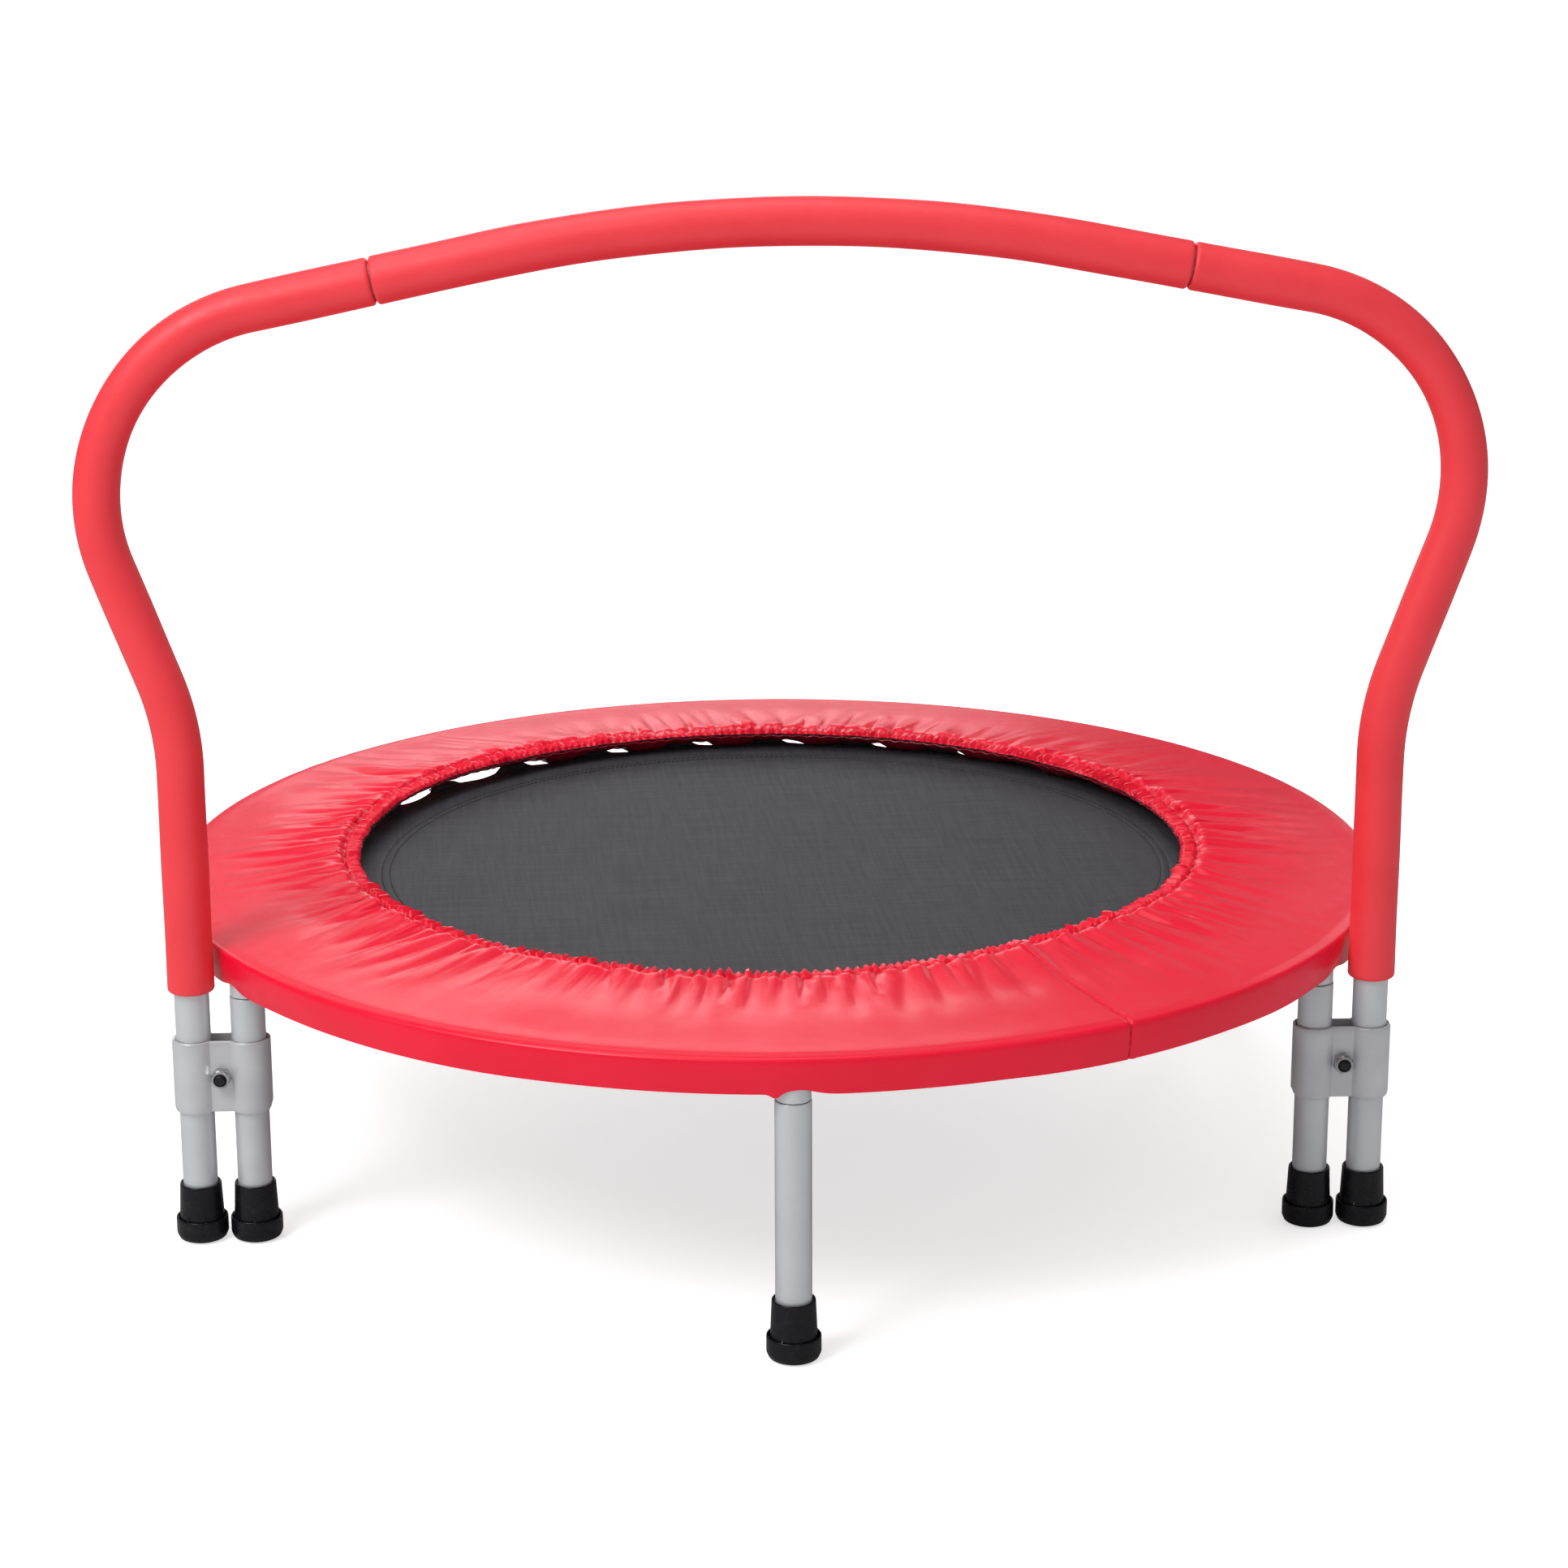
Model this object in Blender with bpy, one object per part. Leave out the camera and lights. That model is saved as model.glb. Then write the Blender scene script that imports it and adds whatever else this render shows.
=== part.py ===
"""Mini trampoline with a clamp-on grab handle, for Blender 4.5. Metres, +Z up, front at -Y.

The origin is on the floor under the centre of the ring. Six screw-in legs carry a welded ring,
28 coil springs hold the mat, a padded cover hides the springs, and a handle in three
foam-covered sections is clamped to the two front-side legs.
"""

from math import acos, asin, atan2, cos, pi, radians, sin, sqrt, tan

import bmesh
import bpy
from mathutils import Matrix, Vector

# Ring and legs
RING_RADIUS = 0.4445
RING_HEIGHT = 0.2055
TUBE_RADIUS = 0.0125
TUBE_BORE = 0.0113
RING_SEGMENTS = 56
LEG_ANGLES = {
    "front": -90,
    "front_right": -30,
    "back_right": 32,
    "back": 90,
    "back_left": 148,
    "front_left": 210,
}
LEG_TOP = 0.1858
LEG_PLUG_DEPTH = 0.034
STUB_RADIUS = 0.0112
STUB_TOP = RING_HEIGHT - 0.0035
STUB_BOTTOM = 0.1865
STUD_RADIUS = 0.0048
STUD_BORE = 0.0053
STUD_LENGTH = 0.028

# Rubber feet
FOOT_HEIGHT = 0.043
FOOT_RIM_RADIUS = 0.01875
FOOT_RIM_CHAMFER = (0.0022, 0.0030)
FOOT_RIM_TOP = 0.0140
FOOT_SLEEVE_RADIUS = 0.01525
FOOT_SLEEVE_FLARE = 0.0013
FOOT_SLEEVE_BOTTOM = 0.0172
FOOT_SOLE = 0.006
TUBE_END = FOOT_SOLE + 0.0005

# Springs, mat and pad
SPRING_COUNT = 28
SPRING_WIRE = 0.001
COIL_RADIUS = 0.0048
COIL_START = 0.010
COIL_END = 0.063
RING_HOOK_RISE = 0.0046
RING_HOOK_X = -0.0072
MAT_HOOK_RISE = 0.0042
MAT_HOOK_START = 0.067
MAT_HOOK_END = 0.0785
MAT_HOOK_TIP = 0.0715
SLOT_HALF_WIDTH = 0.003
SLOT_HALF_HEIGHT = 0.0024
MAT_RADIUS = 0.348
MAT_HEIGHT = 0.211
MAT_THICKNESS = 0.0024
V_RING_TIP = 0.3595
V_RING_BASE = 0.3405
V_RING_HALF_WIDTH = 0.0135
PAD_RADIUS = 0.460
PAD_SKIRT_BOTTOM = 0.1940
PAD_SKIRT_LEAN = 0.0010
PAD_SKIRT_THICKNESS = 0.0012
PAD_SHOULDER_RADIUS = PAD_RADIUS - 0.0015
PAD_MIDDLE_RADIUS = 0.3850
PAD_HEM_RADIUS = 0.3155
PAD_SEGMENTS = 60

# Handle
HANDLE_Y = RING_RADIUS * sin(radians(-30))
HANDLE_HALF_WIDTH = 0.4245
HANDLE_BEND = (0.4245, 0.388)
HANDLE_SHOULDER = (0.519, 0.6532)
HANDLE_PEAK = (0.0, 0.757)
BEND_RADIUS = 0.20
SHOULDER_RADIUS = 0.137
CROWN_RADIUS = 1.035
SPLIT_X = 0.279
SPIGOT_RADIUS = 0.0108
SPIGOT_BORE = 0.0096
SPIGOT_LENGTH = 0.040
FOAM_RADIUS = 0.01675
FOAM_BORE = 0.0131
FOAM_BOTTOM = 0.190

# Clamps
CLAMP_HEIGHT = 0.054
CLAMP_MIDDLE = 0.127
CLAMP_INNER = 0.0134
CLAMP_PLATE = 0.0022
CLAMP_WEB_HALF_WIDTH = 0.0075
CLAMP_PARTING = 0.0006
CLAMP_CORNER = 0.011
BOLT_RADIUS = 0.0039
BOLT_HOLE = 0.0044
BOLT_HEAD_HEIGHT = 0.0053
BOLT_CHAMFER = 0.001
BOLT_REACH = 0.0095
HEX_RADIUS = 0.0075
HEX_FLAT = HEX_RADIUS * cos(pi / 6)
NUT_HEX_HEIGHT = 0.0055
NUT_SHOULDER = (0.0062, 0.0062)
NUT_COLLAR = (0.0060, 0.0080)

GAP = 0.0004
TUBE_SIDES = 16

BOLT_X = (HANDLE_HALF_WIDTH + RING_RADIUS * cos(radians(30))) / 2
PAIR_HALF_SPAN = HANDLE_HALF_WIDTH - BOLT_X


def clear_scene():
    for obj in list(bpy.data.objects):
        bpy.data.objects.remove(obj, do_unlink=True)


def material(name, colour, roughness, metallic=0.0):
    mat = bpy.data.materials.new(name)
    mat.use_nodes = True
    shader = mat.node_tree.nodes["Principled BSDF"]
    shader.inputs["Base Color"].default_value = (*colour, 1.0)
    shader.inputs["Roughness"].default_value = roughness
    shader.inputs["Metallic"].default_value = metallic
    mat.diffuse_color = (*colour, 1.0)
    return mat


def make_materials():
    return {
        "powder_coat": material("powder_coat", (0.54, 0.57, 0.59), 0.42, 0.25),
        "clamp_steel": material("clamp_steel", (0.48, 0.49, 0.51), 0.40, 0.45),
        "zinc": material("zinc", (0.66, 0.66, 0.67), 0.28, 1.0),
        "black_steel": material("black_steel", (0.02, 0.02, 0.022), 0.45, 0.6),
        "spring_steel": material("spring_steel", (0.60, 0.61, 0.62), 0.30, 1.0),
        "rubber": material("rubber", (0.012, 0.013, 0.014), 0.65),
        "mat_fabric": material("mat_fabric", (0.07, 0.07, 0.08), 0.80),
        "pad_fabric": material("pad_fabric", (0.78, 0.012, 0.05), 0.30),
        "grip_foam": material("grip_foam", (0.75, 0.02, 0.03), 0.60),
    }


def add_object(name, bm, mat, place=None):
    """Turns a bmesh into a smooth-shaded object with one material."""
    bmesh.ops.recalc_face_normals(bm, faces=bm.faces)
    mesh = bpy.data.meshes.new(name)
    bm.to_mesh(mesh)
    bm.free()
    mesh.shade_smooth()
    mesh.set_sharp_from_angle(angle=radians(35))
    mesh.materials.append(mat)
    return add_mesh(name, mesh, place)


def add_mesh(name, mesh, place=None):
    obj = bpy.data.objects.new(name, mesh)
    if place is not None:
        obj.matrix_world = place
    bpy.context.scene.collection.objects.link(obj)
    return obj


def bridge(bm, first, second):
    """Joins two loops of as many vertices with quads."""
    count = len(first)
    for i in range(count):
        j = (i + 1) % count
        bm.faces.new((first[i], first[j], second[j], second[i]))


def revolve(profile, sides):
    """A solid turned about Z from (radius, z) points; radius 0 at both ends, or a closed profile."""
    bm = bmesh.new()
    on_axis = profile[0][0] == 0
    loops = []
    for radius, z in profile:
        if radius == 0:
            loops.append([bm.verts.new((0, 0, z))])
            continue
        turn = [2 * pi * (i + 0.5) / sides for i in range(sides)]
        loops.append([bm.verts.new((radius * cos(a), radius * sin(a), z)) for a in turn])
    pairs = list(zip(loops, loops[1:]))
    if not on_axis:
        pairs.append((loops[-1], loops[0]))
    for first, second in pairs:
        if len(first) == 1 or len(second) == 1:
            centre, rim = (first[0], second) if len(first) == 1 else (second[0], first)
            for i in range(sides):
                bm.faces.new((centre, rim[i], rim[(i + 1) % sides]))
        else:
            bridge(bm, first, second)
    return bm


def path_loops(bm, path, radii, sides):
    """Rings of vertices round a path of (x, z) points in the XZ plane, mitred at its corners."""
    points = [Vector(p) for p in path]
    loops = []
    for i, point in enumerate(points):
        before = (point - points[i - 1]).normalized() if i > 0 else None
        after = (points[i + 1] - point).normalized() if i < len(points) - 1 else None
        tangent = ((before or after) + (after or before)).normalized()
        mitre = 1 / (before or after).dot(tangent)
        normal = Vector((-tangent.y, tangent.x)) * mitre
        loop = []
        for k in range(sides):
            turn = 2 * pi * (k + 0.5) / sides
            across = normal * cos(turn) * radii[i]
            loop.append(bm.verts.new((point.x + across.x, sin(turn) * radii[i], point.y + across.y)))
        loops.append(loop)
    return loops


def rod(path, radii, sides):
    """A solid round bar along a path."""
    bm = bmesh.new()
    loops = path_loops(bm, path, radii, sides)
    for first, second in zip(loops, loops[1:]):
        bridge(bm, first, second)
    bm.faces.new(loops[0])
    bm.faces.new(loops[-1])
    return bm


def pipe(path, outer, bore, sides):
    """An open-ended tube along a path, with an outer radius and a bore radius at each point."""
    bm = bmesh.new()
    outside = path_loops(bm, path, outer, sides)
    inside = path_loops(bm, path, bore, sides)
    for loops in (outside, inside):
        for first, second in zip(loops, loops[1:]):
            bridge(bm, first, second)
    bridge(bm, outside[0], inside[0])
    bridge(bm, outside[-1], inside[-1])
    return bm


def fillet(before, corner, after, radius, steps):
    """The arc of a given radius that rounds a corner of a path in the XZ plane."""
    corner = Vector(corner)
    back = (Vector(before) - corner).normalized()
    ahead = (Vector(after) - corner).normalized()
    half = acos(max(-1, min(1, back.dot(ahead)))) / 2
    centre = corner + (back + ahead).normalized() * (radius / sin(half))
    start = corner + back * (radius / tan(half)) - centre
    turned = -1 if back.cross(ahead) > 0 else 1
    sweep = turned * (pi - 2 * half)
    points = []
    for i in range(steps + 1):
        angle = sweep * i / steps
        x = start.x * cos(angle) - start.y * sin(angle)
        z = start.x * sin(angle) + start.y * cos(angle)
        points.append((centre.x + x, centre.y + z))
    return points


def place_at(x, y, z=0.0, turn=0.0):
    return Matrix.Translation((x, y, z)) @ Matrix.Rotation(turn, 4, "Z")


def on_ring(angle_deg, radius=RING_RADIUS):
    angle = radians(angle_deg)
    return place_at(radius * cos(angle), radius * sin(angle), 0, angle)


# Ring


def tube_section(radius, sides):
    """(radius from the ring's axis, height) of a section whose one flat side faces the middle."""
    turns = [pi + 2 * pi * (k - 0.5) / sides for k in range(sides)]
    return [(RING_RADIUS + radius * cos(t), RING_HEIGHT + radius * sin(t)) for t in turns]


def slot_corners(bm, face_radius, turn):
    """Four corners of a spring slot, on the flat inner side of one segment of the ring."""
    middle = face_radius * cos(pi / RING_SEGMENTS)
    outward = Vector((cos(turn), sin(turn), 0))
    along = Vector((-sin(turn), cos(turn), 0))
    centre = outward * middle + Vector((0, 0, RING_HEIGHT))
    corners = []
    for side, rise in ((-1, 1), (-1, -1), (1, -1), (1, 1)):
        offset = along * (side * SLOT_HALF_WIDTH) + Vector((0, 0, rise * SLOT_HALF_HEIGHT))
        corners.append(bm.verts.new(centre + offset))
    return corners


def ring_surface(bm, radius, sides):
    """One surface of the ring tube. Returns each slot's corners; its side that faces the middle is pierced."""
    section = tube_section(radius, sides)
    step = 2 * pi / RING_SEGMENTS
    rings = []
    for i in range(RING_SEGMENTS):
        turn = pi / 2 + step * (i - 0.5)
        rings.append([bm.verts.new((r * cos(turn), r * sin(turn), z)) for r, z in section])
    slots = []
    for i in range(RING_SEGMENTS):
        here, there = rings[i], rings[(i + 1) % RING_SEGMENTS]
        for k in range(sides):
            n = (k + 1) % sides
            quad = [here[k], here[n], there[n], there[k]]
            if k or i % 2:
                bm.faces.new(quad)
                continue
            hole = slot_corners(bm, section[0][0], pi / 2 + step * i)
            bridge(bm, quad, hole)
            slots.append(hole)
    return slots


def ring_tube():
    bm = bmesh.new()
    outside = ring_surface(bm, TUBE_RADIUS, 10)
    inside = ring_surface(bm, TUBE_BORE, 6)
    for first, second in zip(outside, inside):
        bridge(bm, first, second)
    return bm


def stub():
    """The welded boss under the ring with the stud that a leg screws onto."""
    return revolve(
        [
            (0, STUB_TOP),
            (STUB_RADIUS, STUB_TOP),
            (STUB_RADIUS, STUB_BOTTOM),
            (STUD_RADIUS, STUB_BOTTOM),
            (STUD_RADIUS, STUB_BOTTOM - STUD_LENGTH),
            (0, STUB_BOTTOM - STUD_LENGTH),
        ],
        TUBE_SIDES,
    )


def union_with(obj, helper):
    modifier = obj.modifiers.new("join_" + helper.name, "BOOLEAN")
    modifier.operation = "UNION"
    modifier.object = helper
    hide_helper(helper)


def hide_helper(helper):
    helper.hide_render = True
    helper.display_type = "WIRE"


def build_ring(mats):
    ring = add_object("frame_ring", ring_tube(), mats["powder_coat"])
    stubs = bmesh.new()
    for angle in LEG_ANGLES.values():
        one = stub()
        bmesh.ops.transform(one, matrix=on_ring(angle), verts=one.verts)
        shape = bpy.data.meshes.new("stub_shape")
        one.to_mesh(shape)
        one.free()
        stubs.from_mesh(shape)
    union_with(ring, add_object("stub_helper", stubs, mats["powder_coat"]))


# Legs and feet


def leg_tube():
    """A leg: a tube with a tapped plug in its top end."""
    return revolve(
        [
            (TUBE_RADIUS, TUBE_END),
            (TUBE_RADIUS, LEG_TOP),
            (STUD_BORE, LEG_TOP),
            (STUD_BORE, LEG_TOP - LEG_PLUG_DEPTH),
            (TUBE_BORE, LEG_TOP - LEG_PLUG_DEPTH),
            (TUBE_BORE, TUBE_END),
        ],
        TUBE_SIDES,
    )


def foot_cup():
    """A rubber foot: a wide rim on the floor and a tapered sleeve round the tube."""
    bore = TUBE_RADIUS + GAP
    chamfer, chamfer_top = FOOT_RIM_CHAMFER
    return revolve(
        [
            (0, 0),
            (FOOT_RIM_RADIUS - chamfer, 0),
            (FOOT_RIM_RADIUS, chamfer_top),
            (FOOT_RIM_RADIUS, FOOT_RIM_TOP),
            (FOOT_SLEEVE_RADIUS + FOOT_SLEEVE_FLARE, FOOT_SLEEVE_BOTTOM),
            (FOOT_SLEEVE_RADIUS, FOOT_HEIGHT),
            (bore, FOOT_HEIGHT),
            (bore, FOOT_SOLE),
            (0, FOOT_SOLE),
        ],
        TUBE_SIDES,
    )


def build_legs(mats):
    front = on_ring(LEG_ANGLES["front"])
    leg_mesh = add_object("leg_front", leg_tube(), mats["powder_coat"], front).data
    foot_mesh = add_object("foot_front", foot_cup(), mats["rubber"], front).data
    for name, angle in LEG_ANGLES.items():
        if name == "front":
            continue
        add_mesh("leg_" + name, leg_mesh, on_ring(angle))
        add_mesh("foot_" + name, foot_mesh, on_ring(angle))
    for side, name in ((-1, "handle_foot_left"), (1, "handle_foot_right")):
        add_mesh(name, foot_mesh, place_at(side * HANDLE_HALF_WIDTH, HANDLE_Y))


# Springs, mat and pad


def spring_shape():
    """A coil spring as a bar with a hook at each end: +X runs from the ring's slot to the mat."""
    wire, coil = SPRING_WIRE, COIL_RADIUS
    path = [
        (RING_HOOK_X, RING_HOOK_RISE),
        (RING_HOOK_X, 0.0),
        (COIL_START, 0.0),
        (COIL_START + wire, 0.0),
        (COIL_END - wire, 0.0),
        (COIL_END, 0.0),
        (MAT_HOOK_START, MAT_HOOK_RISE),
        (MAT_HOOK_END, MAT_HOOK_RISE),
        (MAT_HOOK_END, -MAT_HOOK_RISE),
        (MAT_HOOK_TIP, -MAT_HOOK_RISE),
    ]
    return rod(path, [wire, wire, wire, coil, coil, wire, wire, wire, wire, wire], 5)


def build_springs(mats):
    root = RING_RADIUS - TUBE_RADIUS
    tilt = atan2(MAT_HEIGHT - RING_HEIGHT, root - V_RING_TIP)
    mesh = None
    for k in range(SPRING_COUNT):
        angle = 90 + 360 * k / SPRING_COUNT
        inward = on_ring(angle, root) @ Matrix.Translation((0, 0, RING_HEIGHT))
        inward = inward @ Matrix.Rotation(pi, 4, "Z") @ Matrix.Rotation(-tilt, 4, "Y")
        name = f"spring_{k + 1:02d}"
        if mesh is None:
            mesh = add_object(name, spring_shape(), mats["spring_steel"], inward).data
        else:
            add_mesh(name, mesh, inward)


def v_ring(bm, angle_deg):
    """A triangular wire ring in the mat's plane, with its tip outwards and its base in the hem."""
    half_angle = atan2(V_RING_HALF_WIDTH, V_RING_TIP - V_RING_BASE)
    corners = []
    for grow in (SPRING_WIRE, -SPRING_WIRE):
        tip = V_RING_TIP + grow / sin(half_angle)
        base = V_RING_BASE - grow
        half = (tip - base) * tan(half_angle)
        corners.append([(tip, 0), (base, half), (base, -half)])
    turn = Matrix.Rotation(radians(angle_deg), 3, "Z")
    loops = []
    for outline in (corners[0], corners[1]):
        for z in (MAT_HEIGHT + SPRING_WIRE, MAT_HEIGHT - SPRING_WIRE):
            loops.append([bm.verts.new(turn @ Vector((x, y, z))) for x, y in outline])
    outer_top, outer_bottom, inner_top, inner_bottom = loops
    bridge(bm, outer_top, inner_top)
    bridge(bm, outer_bottom, inner_bottom)
    bridge(bm, outer_top, outer_bottom)
    bridge(bm, inner_top, inner_bottom)


def build_mat(mats):
    half = MAT_THICKNESS / 2
    low, high = MAT_HEIGHT - half, MAT_HEIGHT + half
    profile = [(0, high), (MAT_RADIUS, high), (MAT_RADIUS, low), (0, low)]
    mat = add_object("mat", revolve(profile, RING_SEGMENTS), mats["mat_fabric"])
    rings = bmesh.new()
    for k in range(SPRING_COUNT):
        v_ring(rings, 90 + 360 * k / SPRING_COUNT)
    union_with(mat, add_object("v_ring_helper", rings, mats["spring_steel"]))


def pad_profile():
    """(radius, z) round the section of the spring cover: skirt, crown and inner hem."""
    skirt_outside = PAD_RADIUS - PAD_SKIRT_LEAN
    return [
        (skirt_outside, PAD_SKIRT_BOTTOM),
        (PAD_RADIUS, 0.2120),
        (PAD_SHOULDER_RADIUS, 0.2180),
        (RING_RADIUS, 0.2235),
        (PAD_MIDDLE_RADIUS, 0.2275),
        (PAD_HEM_RADIUS, 0.2295),
        (PAD_HEM_RADIUS, 0.2260),
        (PAD_MIDDLE_RADIUS, 0.2240),
        (RING_RADIUS, 0.2195),
        (PAD_SHOULDER_RADIUS - PAD_SKIRT_THICKNESS * 2, 0.2150),
        (PAD_RADIUS - PAD_SKIRT_THICKNESS, 0.2110),
        (skirt_outside - PAD_SKIRT_THICKNESS, PAD_SKIRT_BOTTOM),
    ]


def build_pad(mats):
    add_object("pad_cover", revolve(pad_profile(), PAD_SEGMENTS), mats["pad_fabric"])


# Handle


def split_point(beyond):
    """Where the handle's sections meet, moved along the tube towards the shoulder."""
    along = (Vector(HANDLE_SHOULDER) - Vector(HANDLE_PEAK)).normalized()
    point = Vector(HANDLE_PEAK) + along * (SPLIT_X / along.x + beyond)
    return (point.x, point.y)


def upright_path(start_z, gap, side):
    """One upright: from a height on the leg, round both bends, to a gap short of the split."""
    bend = fillet((HANDLE_HALF_WIDTH, 0), HANDLE_BEND, HANDLE_SHOULDER, BEND_RADIUS, 2)
    shoulder = fillet(HANDLE_BEND, HANDLE_SHOULDER, HANDLE_PEAK, SHOULDER_RADIUS, 6)
    path = [(HANDLE_HALF_WIDTH, start_z)] + bend + shoulder + [split_point(gap)]
    return [(side * x, z) for x, z in path]


def crown_path(ends):
    """The middle section, through points at given distances beyond each split."""
    left_shoulder = (-HANDLE_SHOULDER[0], HANDLE_SHOULDER[1])
    crown = fillet(left_shoulder, HANDLE_PEAK, HANDLE_SHOULDER, CROWN_RADIUS, 4)
    right = [split_point(beyond) for beyond in ends]
    left = [(-x, z) for x, z in reversed(right)]
    return left + crown + right


def crossbar():
    """The middle tube, with a reduced spigot at each end that slips into the uprights."""
    path = crown_path([-GAP, GAP, SPIGOT_LENGTH])
    spigot = [SPIGOT_RADIUS] * 2
    outer = spigot + [TUBE_RADIUS] * (len(path) - 4) + spigot
    return pipe(path, outer, [SPIGOT_BORE] * len(path), TUBE_SIDES)


def even_pipe(path, outer, bore, sides):
    return pipe(path, [outer] * len(path), [bore] * len(path), sides)


def build_handle(mats):
    plane = place_at(0, HANDLE_Y)
    for side, name in ((-1, "left"), (1, "right")):
        tube = even_pipe(upright_path(TUBE_END, 2 * GAP, side), TUBE_RADIUS, TUBE_BORE, 12)
        add_object("handle_upright_" + name, tube, mats["powder_coat"], plane)
        foam = even_pipe(upright_path(FOAM_BOTTOM, 2 * GAP, side), FOAM_RADIUS, FOAM_BORE, 12)
        add_object("grip_foam_" + name, foam, mats["grip_foam"], plane)
    add_object("handle_crossbar", crossbar(), mats["powder_coat"], plane)
    foam = even_pipe(crown_path([-2 * GAP]), FOAM_RADIUS, FOAM_BORE, 12)
    add_object("grip_foam_middle", foam, mats["grip_foam"], plane)


# Clamps


def clamp_line(radius, web_y):
    """Half of one face of a clamp plate, from its free end round a saddle to the web: (x, y)."""
    start = -asin(CLAMP_PARTING / radius)
    stop = -(pi - asin(web_y / radius))
    steps = 8
    points = []
    for i in range(steps + 1):
        turn = start + (stop - start) * i / steps
        points.append((PAIR_HALF_SPAN + radius * cos(turn), radius * sin(turn)))
    return points


def corner_drop(distance, radius):
    """How far a rounded corner pulls an edge in, at a distance from the plate's free end."""
    inside = max(0.0, radius - distance)
    return radius - sqrt(radius**2 - inside**2)


def clamp_plate():
    """The front half of a clamp: two saddles and a recessed web, centred on its bolt."""
    outer_radius = CLAMP_INNER + CLAMP_PLATE
    saddle_gap = PAIR_HALF_SPAN - CLAMP_WEB_HALF_WIDTH
    web_y = sqrt(outer_radius**2 - saddle_gap**2)
    outer = clamp_line(outer_radius, web_y)
    inner = clamp_line(CLAMP_INNER, web_y - CLAMP_PLATE)
    sweep = pi - asin(web_y / outer_radius) - asin(CLAMP_PARTING / outer_radius)
    bm = bmesh.new()
    half = CLAMP_HEIGHT / 2
    loops = []
    for i, (out, inn) in enumerate(zip(outer, inner)):
        along = outer_radius * sweep * i / (len(outer) - 1)
        top = half - corner_drop(along, CLAMP_CORNER / 3)
        bottom = -half + corner_drop(along, CLAMP_CORNER)
        loops.append([(out, top), (out, bottom), (inn, bottom), (inn, top)])
    mirrored = [[((-x, y), z) for (x, y), z in loop] for loop in reversed(loops)]
    rings = []
    for loop in loops + mirrored:
        rings.append([bm.verts.new((x, y, z)) for (x, y), z in loop])
    for first, second in zip(rings, rings[1:]):
        bridge(bm, first, second)
    bm.faces.new(rings[0])
    bm.faces.new(rings[-1])
    return bm, web_y


def cylinder_along_y(radius, half_length):
    """A plain cylinder on the Y axis, centred on the origin."""
    ends = (-half_length, half_length)
    bm = revolve([(0, ends[0]), (radius, ends[0]), (radius, ends[1]), (0, ends[1])], TUBE_SIDES)
    bmesh.ops.rotate(bm, verts=bm.verts, matrix=Matrix.Rotation(-pi / 2, 3, "X"))
    return bm


def cut_from(obj, helper):
    modifier = obj.modifiers.new("cut_" + helper.name, "BOOLEAN")
    modifier.operation = "DIFFERENCE"
    modifier.object = helper
    hide_helper(helper)


def hex_stack(sections, sides=12):
    """Loops of a stack on the Z axis: each section is (corner radius, flat radius, z)."""
    stack = []
    for corner, flat, z in sections:
        loop = []
        for k in range(sides):
            radius = flat if k % 2 else corner
            turn = 2 * pi * k / sides
            loop.append((radius * cos(turn), radius * sin(turn), z))
        stack.append(loop)
    return stack


def skin_stack(stack, closed):
    """Faces over a stack of loops: a ring if closed, or a solid with a cap at each end."""
    bm = bmesh.new()
    loops = [[bm.verts.new(point) for point in loop] for loop in stack]
    for first, second in zip(loops, loops[1:]):
        bridge(bm, first, second)
    if closed:
        bridge(bm, loops[-1], loops[0])
    else:
        bm.faces.new(loops[0])
        bm.faces.new(loops[-1])
    return bm


def lock_nut():
    """A hexagonal nut with a locking collar, on the Z axis from its seat at z = 0."""
    shoulder, shoulder_z = NUT_SHOULDER
    collar, top = NUT_COLLAR
    sections = [
        (HEX_RADIUS, HEX_FLAT, 0.0),
        (HEX_RADIUS, HEX_FLAT, NUT_HEX_HEIGHT),
        (shoulder, shoulder, shoulder_z),
        (collar, collar, top),
        (BOLT_HOLE, BOLT_HOLE, top),
        (BOLT_HOLE, BOLT_HOLE, 0.0),
    ]
    return skin_stack(hex_stack(sections), True)


def clamp_bolt(head_seat, end):
    """A hexagon bolt on the Z axis, its head seated at one height and its end at another."""
    tip = BOLT_RADIUS - BOLT_CHAMFER
    sections = [
        (HEX_RADIUS, HEX_FLAT, head_seat - BOLT_HEAD_HEIGHT),
        (HEX_RADIUS, HEX_FLAT, head_seat),
        (BOLT_RADIUS, BOLT_RADIUS, head_seat),
        (BOLT_RADIUS, BOLT_RADIUS, end - BOLT_CHAMFER),
        (tip, tip, end),
    ]
    return skin_stack(hex_stack(sections), False)


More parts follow.
